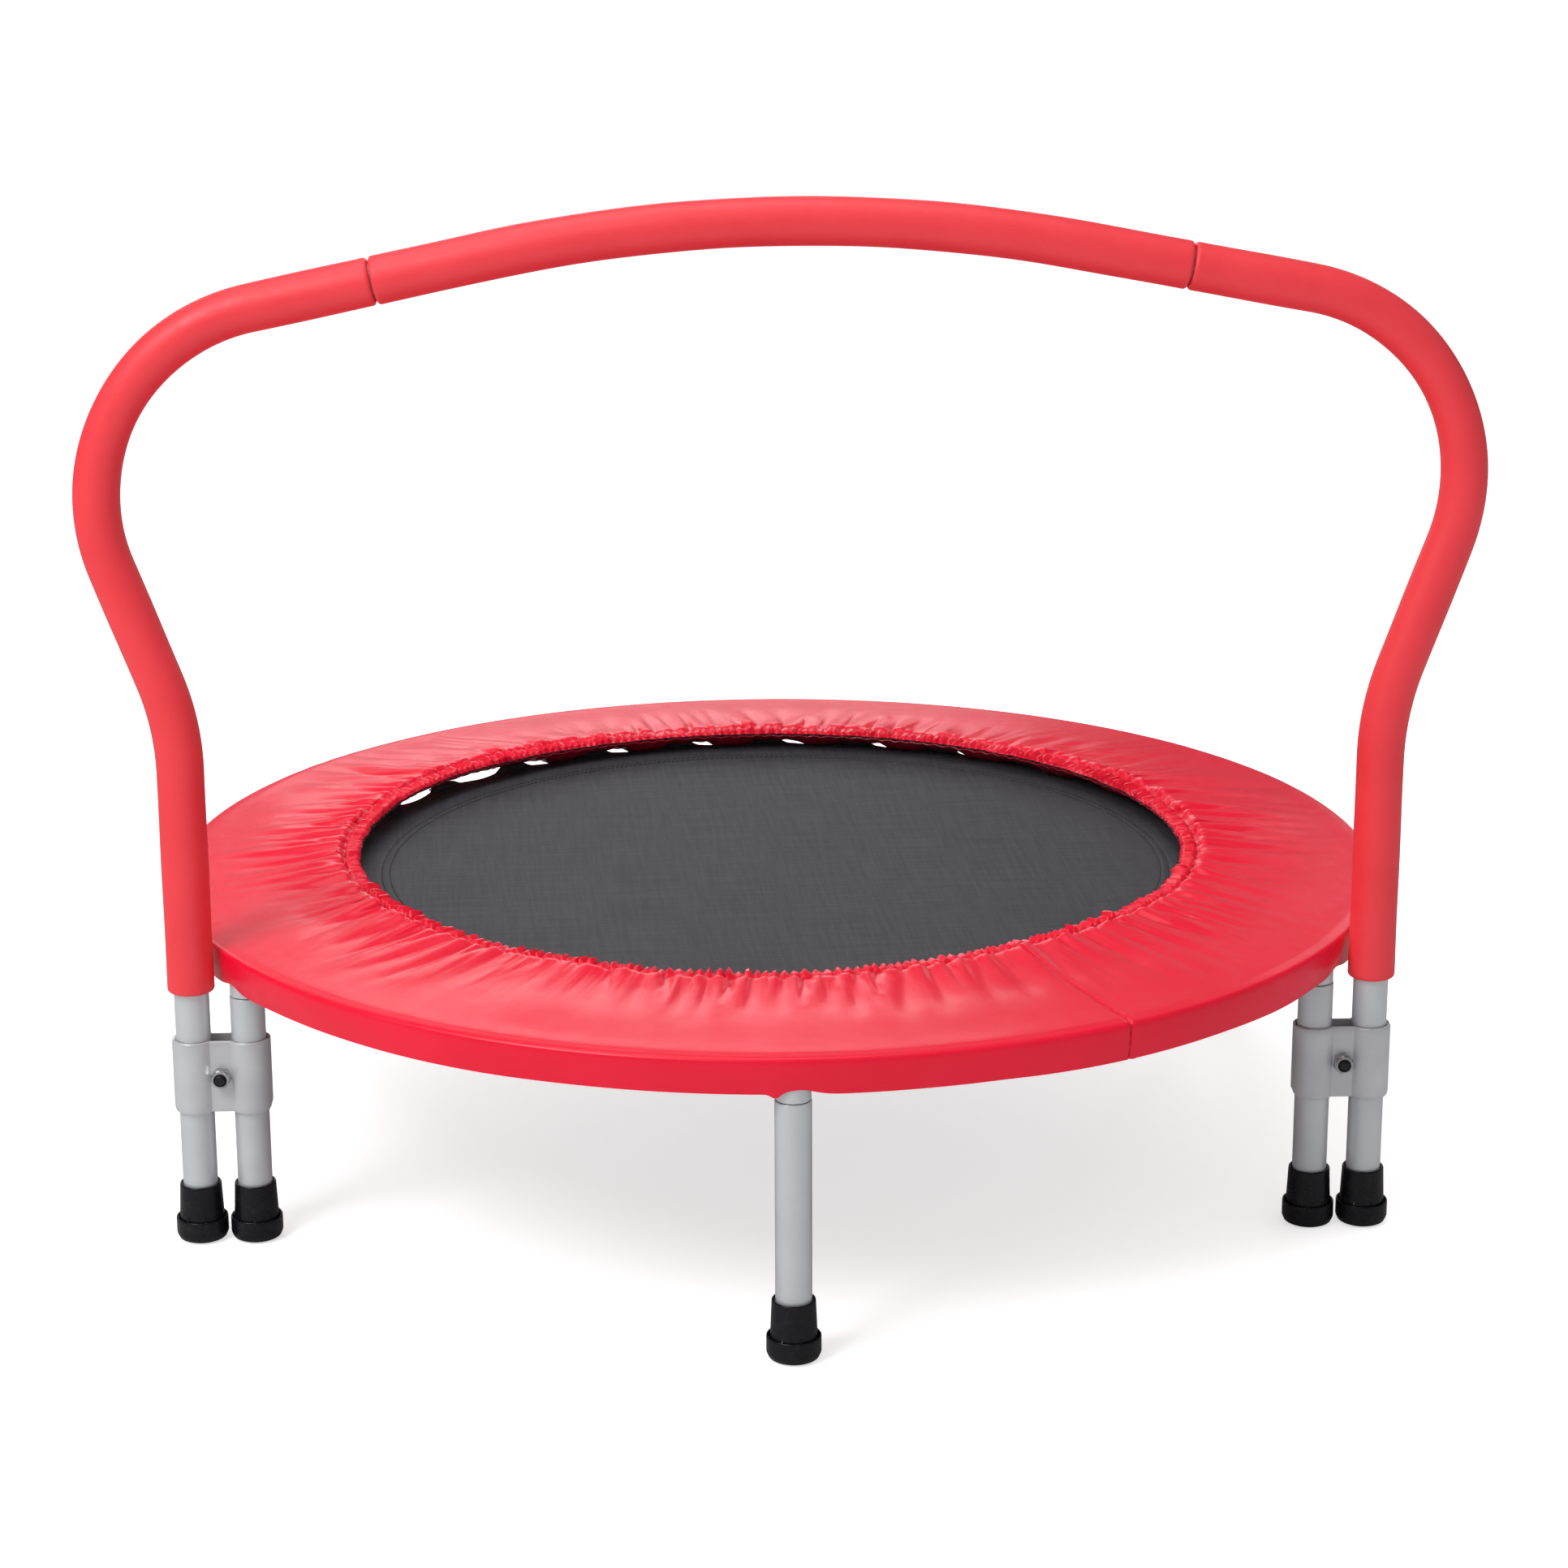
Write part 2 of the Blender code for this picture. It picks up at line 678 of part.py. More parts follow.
def build_clamps(mats):
    plate, web_y = clamp_plate()
    shape = bpy.data.meshes.new("clamp_plate")
    plate.to_mesh(shape)
    plate.free()
    flip = Matrix.Rotation(pi, 4, "Z")
    seat = web_y + GAP
    forward = Matrix.Rotation(pi / 2, 4, "X")
    for side, name in ((-1, "left"), (1, "right")):
        place = place_at(side * BOLT_X, HANDLE_Y, CLAMP_MIDDLE)
        cutter = cylinder_along_y(BOLT_HOLE, CLAMP_HEIGHT / 2)
        helper = add_object("bolt_hole_helper_" + name, cutter, mats["zinc"], place)
        for facing, turn in (("front", Matrix()), ("back", flip)):
            half = bmesh.new()
            half.from_mesh(shape)
            jaw = add_object(f"clamp_{facing}_{name}", half, mats["clamp_steel"], place @ turn)
            cut_from(jaw, helper)
        nut_place = place @ Matrix.Translation((0, -seat, 0)) @ forward
        add_object("clamp_nut_" + name, lock_nut(), mats["zinc"], nut_place)
        bolt = clamp_bolt(-seat, seat + BOLT_REACH)
        add_object("clamp_bolt_" + name, bolt, mats["black_steel"], place @ forward)


def main():
    clear_scene()
    mats = make_materials()
    build_ring(mats)
    build_legs(mats)
    build_springs(mats)
    build_mat(mats)
    build_pad(mats)
    build_handle(mats)
    build_clamps(mats)


main()
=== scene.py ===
"""Looks of the mini trampoline: gathered cover, woven mat, coil springs, foam grips and metal."""

from math import acos, atan2, cos, degrees, pi, radians, sin, sqrt, tan

import bmesh
import bpy
import numpy as np
from mathutils import Matrix, Vector


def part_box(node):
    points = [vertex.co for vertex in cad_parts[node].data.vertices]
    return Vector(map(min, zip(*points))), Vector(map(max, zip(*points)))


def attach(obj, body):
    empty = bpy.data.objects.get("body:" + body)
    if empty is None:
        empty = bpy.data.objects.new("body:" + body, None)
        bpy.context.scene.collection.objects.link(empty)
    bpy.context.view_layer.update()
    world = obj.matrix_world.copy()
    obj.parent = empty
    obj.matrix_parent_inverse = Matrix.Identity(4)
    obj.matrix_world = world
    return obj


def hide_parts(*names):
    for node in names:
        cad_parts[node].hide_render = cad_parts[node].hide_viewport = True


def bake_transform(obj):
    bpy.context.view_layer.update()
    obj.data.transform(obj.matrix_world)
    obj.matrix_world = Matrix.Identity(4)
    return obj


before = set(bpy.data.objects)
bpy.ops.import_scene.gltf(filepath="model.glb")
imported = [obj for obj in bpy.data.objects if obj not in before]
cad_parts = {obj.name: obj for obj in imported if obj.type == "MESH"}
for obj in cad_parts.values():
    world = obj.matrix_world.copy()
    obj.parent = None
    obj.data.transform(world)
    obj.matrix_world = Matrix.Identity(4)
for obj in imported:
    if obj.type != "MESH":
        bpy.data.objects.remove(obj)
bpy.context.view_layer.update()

MM = 0.001
MAT_LOW, MAT_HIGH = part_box("mat")
LEG_LOW, LEG_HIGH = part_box("leg_front")

TUBE_RADIUS = 12.5 * MM
TUBE_BORE = 11.3 * MM
FOOT_RADIUS = 18.75 * MM
RING_RADIUS = -(LEG_LOW.y + LEG_HIGH.y) / 2
RING_HEIGHT = 205.5 * MM
STUB_BOTTOM = 186.5 * MM
STUD_RADIUS = 4.8 * MM
STUD_LENGTH = 28 * MM
PLUG_BORE = 5.3 * MM
PLUG_LENGTH = 34 * MM
LEG_NAMES = ("front", "front_right", "back_right", "back", "back_left", "front_left")
LEG_ANGLES = {}
for leg_name in LEG_NAMES:
    leg_low, leg_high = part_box("leg_" + leg_name)
    LEG_ANGLES[leg_name] = degrees(atan2(leg_low.y + leg_high.y, leg_low.x + leg_high.x))

SPRING_COUNT = 28
SPRING_WIRE = 1.0 * MM
SPRING_ROOT = RING_RADIUS - TUBE_RADIUS
COIL_RADIUS = 3.8 * MM
COIL_TURNS = 25
V_RING_TIP = 359.5 * MM
V_RING_BASE = 340.5 * MM
V_RING_HALF_WIDTH = 13.5 * MM

MAT_HEIGHT = (MAT_LOW.z + MAT_HIGH.z) / 2
MAT_TAB_RADIUS = 351.5 * MM
MAT_SCOOP = 11.5 * MM
MAT_HEM_RADIUS = 295 * MM
MAT_THICKNESS = 1.2 * MM
MAT_HEM_THICKNESS = 2.2 * MM
MAT_WEAVE = 2.3 * MM
MAT_STITCH_STEP = 4.2 * MM
MAT_STITCH_RADII = (297 * MM, 303 * MM, 333 * MM)

PAD_RADIUS = 460 * MM
HEM_RADIUS = 316 * MM
HEM_HEIGHT = 227.5 * MM
SKIRT_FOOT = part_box("pad_cover")[0].z
CHANNEL = 12 * MM
COVER_WEAVE = 0.55 * MM
COVER_THICKNESS = 1.1 * MM
LINING_THICKNESS = 0.7 * MM
THREAD_PLY = 0.5 * MM
COVER_COLUMNS = 1440
CLOTH_COLUMNS = 504
CLOTH_ROWS = 32
CLOTH_FREE = 124 * MM
GATHERS = 310
FOLDS = 36
FOLD_HEIGHT = 5.0 * MM
PULL = 0.7 * MM
SETTLE_FRAMES = 16
PUFF_LIMIT = 5.2 * MM
DRIFT_LIMIT = 2.5 * MM
SEAM_ANGLE = radians(-60)
SAG_SHIFT = radians(1.4)
LINING_LINE = (
    (HEM_RADIUS + 0.6 * MM, HEM_HEIGHT - 2.2 * MM),
    (0.326, 0.2212),
    (0.345, 0.2186),
    (0.380, 0.2180),
    (0.420, 0.2190),
    (RING_RADIUS, 0.2196),
)

HANDLE_Y = (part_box("handle_foot_left")[0].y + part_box("handle_foot_left")[1].y) / 2
HANDLE_X = (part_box("handle_foot_right")[0].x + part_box("handle_foot_right")[1].x) / 2
HANDLE_BEND = (HANDLE_X, 388 * MM)
HANDLE_SHOULDER = (519 * MM, 653.2 * MM)
HANDLE_PEAK = (0.0, 757 * MM)
BEND_RADIUS = 200 * MM
SHOULDER_RADIUS = 137 * MM
CROWN_RADIUS = 1035 * MM
SPLIT_X = 279 * MM
SPIGOT_RADIUS = 10.8 * MM
SPIGOT_BORE = 9.6 * MM
SPIGOT_LENGTH = 40 * MM
HANDLE_LEAN = 0.0115
FOAM_RADIUS = 16.75 * MM
FOAM_BORE = 12.9 * MM
FOAM_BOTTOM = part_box("grip_foam_left")[0].z

CLAMP_LOW, CLAMP_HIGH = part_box("clamp_front_right")
CLAMP_X = (CLAMP_LOW.x + CLAMP_HIGH.x) / 2
CLAMP_Z = (CLAMP_LOW.z + CLAMP_HIGH.z) / 2
CLAMP_HEIGHT = CLAMP_HIGH.z - CLAMP_LOW.z
CLAMP_INNER = 13.4 * MM
CLAMP_OUTER = 15.6 * MM
CLAMP_WEB_HALF_WIDTH = 7.5 * MM
PAIR_HALF_SPAN = HANDLE_X - CLAMP_X
BOLT_RADIUS = 3.9 * MM
THREAD_PITCH = 1.25 * MM
THREAD_LENGTH = 12 * MM
NUT_FLAT = 6.5 * MM

WORLD_LIGHT = 0.56
WORLD_GLOSS = 0.08
FLOOR_SIZE = 40.0
LIGHT_TARGET = (0, 0, 0.25)
LIGHTS = {
    "key": ((-1.9, -1.8, 2.7), (1.5, 1.5), 62),
    "sheen": ((-0.15, 2.7, 1.25), (1.3, 1.3), 11.5),
    "rim_left": ((-1.45, 2.5, 1.20), (0.45, 1.3), 4.5),
    "rim_right": ((1.35, 2.5, 1.20), (0.35, 1.3), 2.6),
    "overhead": ((-0.3, 0.1, 3.0), (1.6, 1.6), 22),
}
CAMERA_AZIMUTH = radians(-1.601)
CAMERA_ELEVATION = radians(16.242)
CAMERA_ROLL = radians(-0.193)
CAMERA_DISTANCE = 2.882
CAMERA_TARGET = 0.274
CAMERA_SHIFT = 7 * MM
CAMERA_LENS = 85.92


# Numbers and curves


def smooth(low, high, x):
    """A smooth step from 0 at low to 1 at high."""
    t = np.clip((x - low) / (high - low), 0, 1)
    return t * t * (3 - 2 * t)


def bell(x, width):
    """A smooth bump: 1 at 0, falling off over the width."""
    return np.exp(-((x / width) ** 2))


def turn_from(angle, start):
    """The turn from one angle to another, between half a turn back and half a turn ahead."""
    return np.mod(angle - start + pi, 2 * pi) - pi


def circle_angles(count):
    return 2 * pi * np.arange(count) / count


def in_mm(points):
    """Points written in millimetres, as metres."""
    return [tuple(value * MM for value in point) for point in points]


def polar(radius, angle, z):
    """Points at a radius, an angle round the Z axis and a height; any of them may be an array."""
    x, y = radius * np.cos(angle), radius * np.sin(angle)
    return np.stack(np.broadcast_arrays(x, y, z), -1)


def distances(points):
    """Each point's distance along a line of points."""
    return np.concatenate([[0], np.cumsum(np.linalg.norm(np.diff(points, axis=0), axis=1))])


def cubic(p, t):
    """A place between p[1] and p[2] on the Catmull-Rom curve through four values."""
    a = -0.5 * p[0] + 1.5 * p[1] - 1.5 * p[2] + 0.5 * p[3]
    b = p[0] - 2.5 * p[1] + 2 * p[2] - 0.5 * p[3]
    return ((a * t + b) * t + 0.5 * (p[2] - p[0])) * t + p[1]


def ring_noise(angle, count, seed):
    """Smooth random values from -1 to 1 round a circle, with count knots."""
    knots = np.random.default_rng(seed).uniform(-1, 1, count)
    at = np.mod(angle / (2 * pi), 1) * count
    first = np.floor(at).astype(int)
    return cubic([knots[(first + k) % count] for k in (-1, 0, 1, 2)], at - first)


def spline(points, samples):
    """Points spaced evenly along a Catmull-Rom curve through the given points."""
    p = np.array(points, float)
    p = np.vstack([2 * p[0] - p[1], p, 2 * p[-1] - p[-2]])
    fine = []
    for i in range(1, len(p) - 2):
        for t in np.linspace(0, 1, 24, endpoint=False):
            a = 2 * p[i] + (p[i + 1] - p[i - 1]) * t
            b = (2 * p[i - 1] - 5 * p[i] + 4 * p[i + 1] - p[i + 2]) * t**2
            c = (3 * p[i] - p[i - 1] - 3 * p[i + 1] + p[i + 2]) * t**3
            fine.append((a + b + c) / 2)
    fine.append(p[-2])
    return respaced(np.array(fine), samples)


def respaced(points, samples):
    """The same line with its points evenly spaced."""
    along = distances(points)
    at = np.linspace(0, along[-1], samples)
    return np.stack([np.interp(at, along, points[:, k]) for k in range(points.shape[1])], 1)


def rounded(points, radius, steps=4, closed=True):
    """A polygon of (a, b) points with its corners rounded; radius is one number or one for each corner."""
    count = len(points)
    radii = [radius] * count if np.isscalar(radius) else radius
    out = []
    for i, corner in enumerate(points):
        corner = np.array(corner, float)
        if radii[i] == 0 or (not closed and i in (0, count - 1)):
            out.append(corner)
            continue
        back = np.array(points[i - 1], float) - corner
        ahead = np.array(points[(i + 1) % count], float) - corner
        reach = min(radii[i], 0.45 * np.linalg.norm(back), 0.45 * np.linalg.norm(ahead))
        first = corner + back / np.linalg.norm(back) * reach
        last = corner + ahead / np.linalg.norm(ahead) * reach
        for t in np.linspace(0, 1, steps + 1):
            out.append((1 - t) ** 2 * first + 2 * t * (1 - t) * corner + t * t * last)
    return np.array(out)


def fillet(before, corner, after, radius, steps):
    """The arc of a given radius that rounds a corner of a path in the XZ plane."""
    corner = Vector(corner)
    back = (Vector(before) - corner).normalized()
    ahead = (Vector(after) - corner).normalized()
    half = acos(back.dot(ahead)) / 2
    centre = corner + (back + ahead).normalized() * (radius / sin(half))
    start = corner + back * (radius / tan(half)) - centre
    sweep = (pi - 2 * half) * (-1 if back.cross(ahead) > 0 else 1)
    turned = [Matrix.Rotation(sweep * i / steps, 2) @ start for i in range(steps + 1)]
    return [tuple(centre + point) for point in turned]


# Meshes


def grid_faces(rows, columns, wrap_columns=True, wrap_rows=False):
    """Quads of a grid of vertices stored row by row."""
    j, i = np.meshgrid(
        np.arange(rows if wrap_rows else rows - 1),
        np.arange(columns if wrap_columns else columns - 1),
        indexing="ij",
    )
    j, i = j.ravel(), i.ravel()
    jn, im = (j + 1) % rows, (i + 1) % columns
    return np.stack([j * columns + i, j * columns + im, jn * columns + im, jn * columns + i], 1).tolist()


def capped_faces(rows, sides):
    """Faces of a closed-ended bar whose rings of vertices are stored one after another."""
    last = (rows - 1) * sides
    return grid_faces(rows, sides) + [list(range(sides))[::-1], list(range(last, last + sides))]


def mesh_object(name, points, faces, material=None):
    """A smooth-shaded mesh object made from points and faces."""
    mesh = bpy.data.meshes.new(name)
    mesh.from_pydata([tuple(p) for p in points], [], faces)
    mesh.validate()
    if material:
        mesh.materials.append(material)
    obj = bpy.data.objects.new(name, mesh)
    bpy.context.scene.collection.objects.link(obj)
    mesh.shade_smooth()
    return obj


def merged(shapes):
    """One (points, faces) from several."""
    points, faces, start = [], [], 0
    for p, f in shapes:
        points.extend(p)
        faces.extend([[v + start for v in face] for face in f])
        start += len(p)
    return points, faces


def moved(shape, matrix):
    """(points, faces) with its points moved by a matrix."""
    m = np.array(matrix, float)
    points = np.asarray(shape[0], float) @ m[:3, :3].T + m[:3, 3]
    return points, shape[1]


def lathe(profile, sides, closed=False):
    """A shape turned about Z from (radius, z) points; an open profile starts and ends on the axis."""
    turn = circle_angles(sides)
    body = profile if closed else profile[1:-1]
    points = np.vstack([polar(radius, turn, z) for radius, z in body])
    faces = grid_faces(len(body), sides, True, closed)
    if closed:
        return points, faces
    poles = [(0, 0, profile[0][1]), (0, 0, profile[-1][1])]
    last = (len(body) - 1) * sides
    count = len(points)
    for i in range(sides):
        n = (i + 1) % sides
        faces.append([count, n, i])
        faces.append([count + 1, last + i, last + n])
    return np.vstack([points, poles]), faces


def frames_along(points, closed=False):
    """Tangent and two cross directions at each point of a 3-D line, carried along without twist."""
    p = np.asarray(points, float)
    if closed:
        tangents = np.roll(p, -1, 0) - np.roll(p, 1, 0)
    else:
        tangents = np.gradient(p, axis=0)
    tangents /= np.linalg.norm(tangents, axis=1)[:, None]
    side = np.cross(tangents[0], (0, 1, 0) if abs(tangents[0][1]) < 0.9 else (0, 0, 1))
    first, second = [], []
    for t in tangents:
        side = side - t * (side @ t)
        side = side / np.linalg.norm(side)
        first.append(side)
        second.append(np.cross(t, side))
    return tangents, np.array(first), np.array(second)


def tube(points, radius, sides, closed=False):
    """A round bar along a 3-D line; radius is one number or one for each point."""
    p = np.asarray(points, float)
    radii = np.full(len(p), radius) if np.isscalar(radius) else np.asarray(radius)
    _, first, second = frames_along(p, closed)
    turn = circle_angles(sides)
    ring = first[:, None] * np.cos(turn)[None, :, None] + second[:, None] * np.sin(turn)[None, :, None]
    verts = (p[:, None] + ring * radii[:, None, None]).reshape(-1, 3)
    return verts, grid_faces(len(p), sides, True, True) if closed else capped_faces(len(p), sides)


def pipe(points, outer, bore, sides):
    """An open-ended tube along a 3-D line."""
    outside, _ = tube(points, outer, sides)
    inside, _ = tube(points, bore, sides)
    rows = len(points)
    inside = inside.reshape(rows, sides, 3)[::-1].reshape(-1, 3)
    return np.vstack([outside, inside]), grid_faces(2 * rows, sides, True, True)


def threads(points, normals, tangents, length, radius, lift):
    """Short stitches lying on a surface, one at each point."""
    rows = np.array([-0.5, -0.42, 0.0, 0.42, 0.5])
    girth = np.array([0.15, 0.75, 1.0, 0.75, 0.15])
    height = np.array([-0.8, -0.1, 0.5, -0.1, -0.8])
    sides = 6
    turn = circle_angles(sides)
    faces = capped_faces(len(rows), sides)
    shapes = []
    for p, n, t in zip(points, normals, tangents):
        across = np.cross(n, t)
        centre = p + n * lift
        body = []
        for along, wide, rise in zip(rows, girth, height):
            middle = centre + t * along * length + n * rise * radius
            ring = np.outer(np.cos(turn), across) + np.outer(np.sin(turn), n)
            body.append(middle + ring * radius * wide)
        shapes.append((np.vstack(body), faces))
    return merged(shapes)


def turned_out(obj):
    """Turns every face outwards and marks sharp edges."""
    bm = bmesh.new()
    bm.from_mesh(obj.data)
    bmesh.ops.recalc_face_normals(bm, faces=bm.faces)
    bm.to_mesh(obj.data)
    bm.free()
    obj.data.set_sharp_from_angle(angle=radians(38))
    return obj


def piece(name, shape, look, body, *nodes):
    """A finished piece that rides on a body and may stand for CAD nodes; look is a material and its slot
    name, and the slot name is not used.
    """
    material, slot = look
    obj = turned_out(mesh_object(name, *shape, material))
    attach(obj, body)
    if nodes:
        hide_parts(*nodes)


# Materials


class Look:
    """A material's node tree, built one node at a time."""

    def __init__(self, name, colour, roughness, metallic=0.0):
        self.material = bpy.data.materials.new(name)
        self.material.use_nodes = True
        self.material.diffuse_color = (*colour, 1)
        self.tree = self.material.node_tree
        self.shader = self.tree.nodes["Principled BSDF"]
        self.set("Base Color", (*colour, 1))
        self.set("Roughness", roughness)
        self.set("Metallic", metallic)
        self.place = self.node("ShaderNodeTexCoord").outputs["Object"]
        self.height = None

    def node(self, kind, **settings):
        made = self.tree.nodes.new(kind)
        for key, value in settings.items():
            setattr(made, key, value)
        return made

    def put(self, socket, value):
        if isinstance(value, bpy.types.NodeSocket):
            self.tree.links.new(value, socket)
        else:
            socket.default_value = value

    def set(self, name, value):
        self.put(self.shader.inputs[name], value)

    def maths(self, kind, a, b=0.0, clamp=False):
        made = self.node("ShaderNodeMath", operation=kind, use_clamp=clamp)
        self.put(made.inputs[0], a)
        self.put(made.inputs[1], b)
        return made.outputs[0]

    def times(self, a, b):
        return self.maths("MULTIPLY", a, b)

    def plus(self, a, b):
        return self.maths("ADD", a, b)

    def noise(self, scale, detail=2.0, rough=0.5, place=None):
        made = self.node("ShaderNodeTexNoise")
        self.put(made.inputs["Vector"], place or self.place)
        made.inputs["Scale"].default_value = scale
        made.inputs["Detail"].default_value = detail
        made.inputs["Roughness"].default_value = rough
        return made.outputs["Fac"]

    def ramp(self, value, low, high, out_low=0.0, out_high=1.0):
        made = self.node("ShaderNodeMapRange", clamp=True)
        self.put(made.inputs["Value"], value)
        names = ("From Min", "From Max", "To Min", "To Max")
        for name, number in zip(names, (low, high, out_low, out_high)):
            self.put(made.inputs[name], number)
        return made.outputs["Result"]

    def patches(self, scale, detail, low=0.0, high=1.0):
        """Soft patches that run between two values."""
        return self.ramp(self.noise(scale, detail), 0.3, 0.7, low, high)

    def mix(self, share, first, second):
        made = self.node("ShaderNodeMix", data_type="RGBA")
        self.put(made.inputs[0], share)
        self.put(made.inputs[6], first)
        self.put(made.inputs[7], second)
        return made.outputs[2]

    def tint(self, share, first, second):
        """Base colour that runs from one (red, green, blue) to another."""
        self.set("Base Color", self.mix(share, (*first, 1), (*second, 1)))

    def rough(self, scale, detail, low, high):
        """Roughness in soft patches between two values."""
        self.set("Roughness", self.patches(scale, detail, low, high))

    def bump(self, value, distance, strength=1.0):
        """Adds a height to the surface; later calls build on earlier ones."""
        made = self.node("ShaderNodeBump")
        made.inputs["Strength"].default_value = strength
        made.inputs["Distance"].default_value = distance
        self.put(made.inputs["Height"], value)
        if self.height:
            self.put(made.inputs["Normal"], self.height)
        self.height = made.outputs["Normal"]
        self.set("Normal", self.height)

    def axes(self, place=None):
        made = self.node("ShaderNodeSeparateXYZ")
        self.put(made.inputs[0], place or self.place)
        return made.outputs

    def vector(self, x, y, z):
        made = self.node("ShaderNodeCombineXYZ")
        for socket, value in zip(made.inputs, (x, y, z)):
            self.put(socket, value)
        return made.outputs[0]

    def radial(self, round_scale, out_scale):
        """A place in which noise makes streaks that run out from the middle, with no seam."""
        x, y, z = self.axes()
        radius = self.maths("SQRT", self.plus(self.times(x, x), self.times(y, y)))
        radius = self.maths("MAXIMUM", radius, 0.001)
        px = self.times(self.maths("DIVIDE", x, radius), round_scale)
        py = self.times(self.maths("DIVIDE", y, radius), round_scale)
        return self.vector(px, py, self.times(radius, out_scale)), radius


def powder_coat():
    look = Look("powder_coat", (0.43, 0.45, 0.465), 0.34, 0.40)
    look.tint(look.patches(26, 4), (0.62, 0.645, 0.665), (0.68, 0.705, 0.725))
    look.rough(60, 3, 0.30, 0.40)
    look.bump(look.noise(1400, 2), 0.00006, 0.6)
    look.bump(look.noise(90, 2), 0.0001, 0.15)
    look.set("Coat Weight", 0.25)
    look.set("Coat Roughness", 0.22)
    return look.material


def clamp_paint():
    look = Look("clamp_paint", (0.42, 0.43, 0.45), 0.42, 0.45)
    wear = look.node("ShaderNodeNewGeometry").outputs["Pointiness"]
    edge = look.ramp(look.plus(wear, look.times(look.noise(220, 4), 0.06)), 0.56, 0.62)
    body = look.mix(look.patches(35, 5), (0.62, 0.63, 0.65, 1), (0.70, 0.71, 0.73, 1))
    look.set("Base Color", look.mix(edge, body, (0.66, 0.66, 0.67, 1)))
    x, y, z = look.axes()
    drawn = look.noise(1, 3, 0.6, look.vector(*(look.times(a, b) for a, b in ((x, 900), (y, 900), (z, 40)))))
    look.bump(drawn, 0.00004, 0.5)
    look.bump(look.noise(1200, 2), 0.00005, 0.5)
    look.rough(80, 3, 0.36, 0.50)
    return look.material


def plated(name, colour, roughness, grain):
    look = Look(name, colour, roughness, 1.0)
    dark = tuple(c * 0.72 for c in colour)
    look.tint(look.ramp(look.noise(grain, 4), 0.35, 0.7), dark, colour)
    look.rough(grain * 2, 3, roughness * 0.8, roughness * 1.3)
    look.bump(look.noise(grain * 6, 3), 0.00004, 0.5)
    return look.material


def black_steel():
    look = Look("black_steel", (0.02, 0.02, 0.022), 0.38, 0.4)
    look.rough(400, 3, 0.30, 0.48)
    look.bump(look.noise(2500, 3), 0.00003, 0.6)
    return look.material


def rubber():
    look = Look("rubber", (0.008, 0.008, 0.010), 0.40)
    scuff = look.ramp(look.noise(120, 5, 0.6), 0.52, 0.72)
    look.tint(scuff, (0.006, 0.006, 0.008), (0.014, 0.014, 0.015))
    look.rough(300, 4, 0.22, 0.34)
    look.set("Specular IOR Level", 0.35)
    look.bump(look.noise(1800, 3), 0.00008, 0.5)
    return look.material


def mat_weave():
    look = Look("mat_weave", (0.045, 0.046, 0.050), 0.62)
    look.set("Specular IOR Level", 0.22)
    x, y, z = look.axes()
    turn = radians(4)
    across = look.plus(look.times(x, cos(turn)), look.times(y, sin(turn)))
    along = look.plus(look.times(x, -sin(turn)), look.times(y, cos(turn)))
    pitch = 2 * pi / MAT_WEAVE
    warp = look.maths("SINE", look.times(across, pitch))
    weft = look.maths("SINE", look.times(along, pitch))
    cell = look.ramp(look.times(warp, weft), -0.8, 0.8)
    slubs = []
    for wide, long in ((across, along), (along, across)):
        place = look.vector(look.times(wide, 300), look.times(long, 14), 0.0)
        slubs.append(look.noise(1, 2, 0.6, place))
    slub = look.ramp(look.plus(slubs[0], slubs[1]), 0.8, 1.2, -0.5, 0.5)
    tone = look.plus(look.times(cell, 0.55), look.times(look.noise(900, 2), 0.38))
    tone = look.plus(tone, look.times(slub, 0.30))
    cloud = look.patches(5, 3, 0.92, 1.08)
    shade = look.times(tone, cloud)
    look.tint(shade, (0.022, 0.022, 0.026), (0.072, 0.072, 0.082))
    look.set("Roughness", look.ramp(cell, 0, 1, 0.70, 0.54))
    look.bump(cell, 0.00035, 0.55)
    look.bump(look.noise(1500, 2), 0.0001, 0.4)
    return look.material


# The second argument scales the colours down; a value below 1 gives a darker copy of the fabric as painted
# shade.
def cover_fabric(name="cover_fabric", shade=1.0):
    look = Look(name, (0.80 * shade, 0.002, 0.030), 0.36)
    streaks, radius = look.radial(40, 9)
    fine, _ = look.radial(110, 14)
    hem_share = look.ramp(radius, HEM_RADIUS, PAD_RADIUS - 0.03, 1.0, 0.12)
    cloud = look.patches(9, 3)
    body = look.mix(cloud, (0.78 * shade, 0.001, 0.026, 1), (0.85 * shade, 0.003, 0.034, 1))
    # Painted shade: hollow creases (low pointiness) turn a deep dark red, standing in for the shade that
    # falls in them.
    painted_crease_shade = look.ramp(look.node("ShaderNodeNewGeometry").outputs["Pointiness"], 0.40, 0.49, 1.0, 0.0)
    look.set("Base Color", look.mix(painted_crease_shade, body, (0.40 * shade, 0.0, 0.012, 1)))
    look.bump(look.times(look.noise(1, 2, 0.5, streaks), hem_share), 0.0025, 0.30)
    look.bump(look.times(look.noise(1, 1, 0.5, fine), hem_share), 0.0010, 0.30)
    look.bump(look.noise(30, 2, 0.5), 0.0012, 0.08)
    x, y, z = look.axes()
    pitch = 2 * pi / COVER_WEAVE
    threads_u = look.maths("SINE", look.times(x, pitch))
    threads_v = look.maths("SINE", look.times(y, pitch))
    look.bump(look.times(threads_u, threads_v), 0.00004, 0.35)
    look.rough(70, 3, 0.30, 0.40)
    look.set("Specular IOR Level", 0.30)
    look.set("Coat Weight", 0.14)
    look.set("Coat Roughness", 0.14)
    return look.material


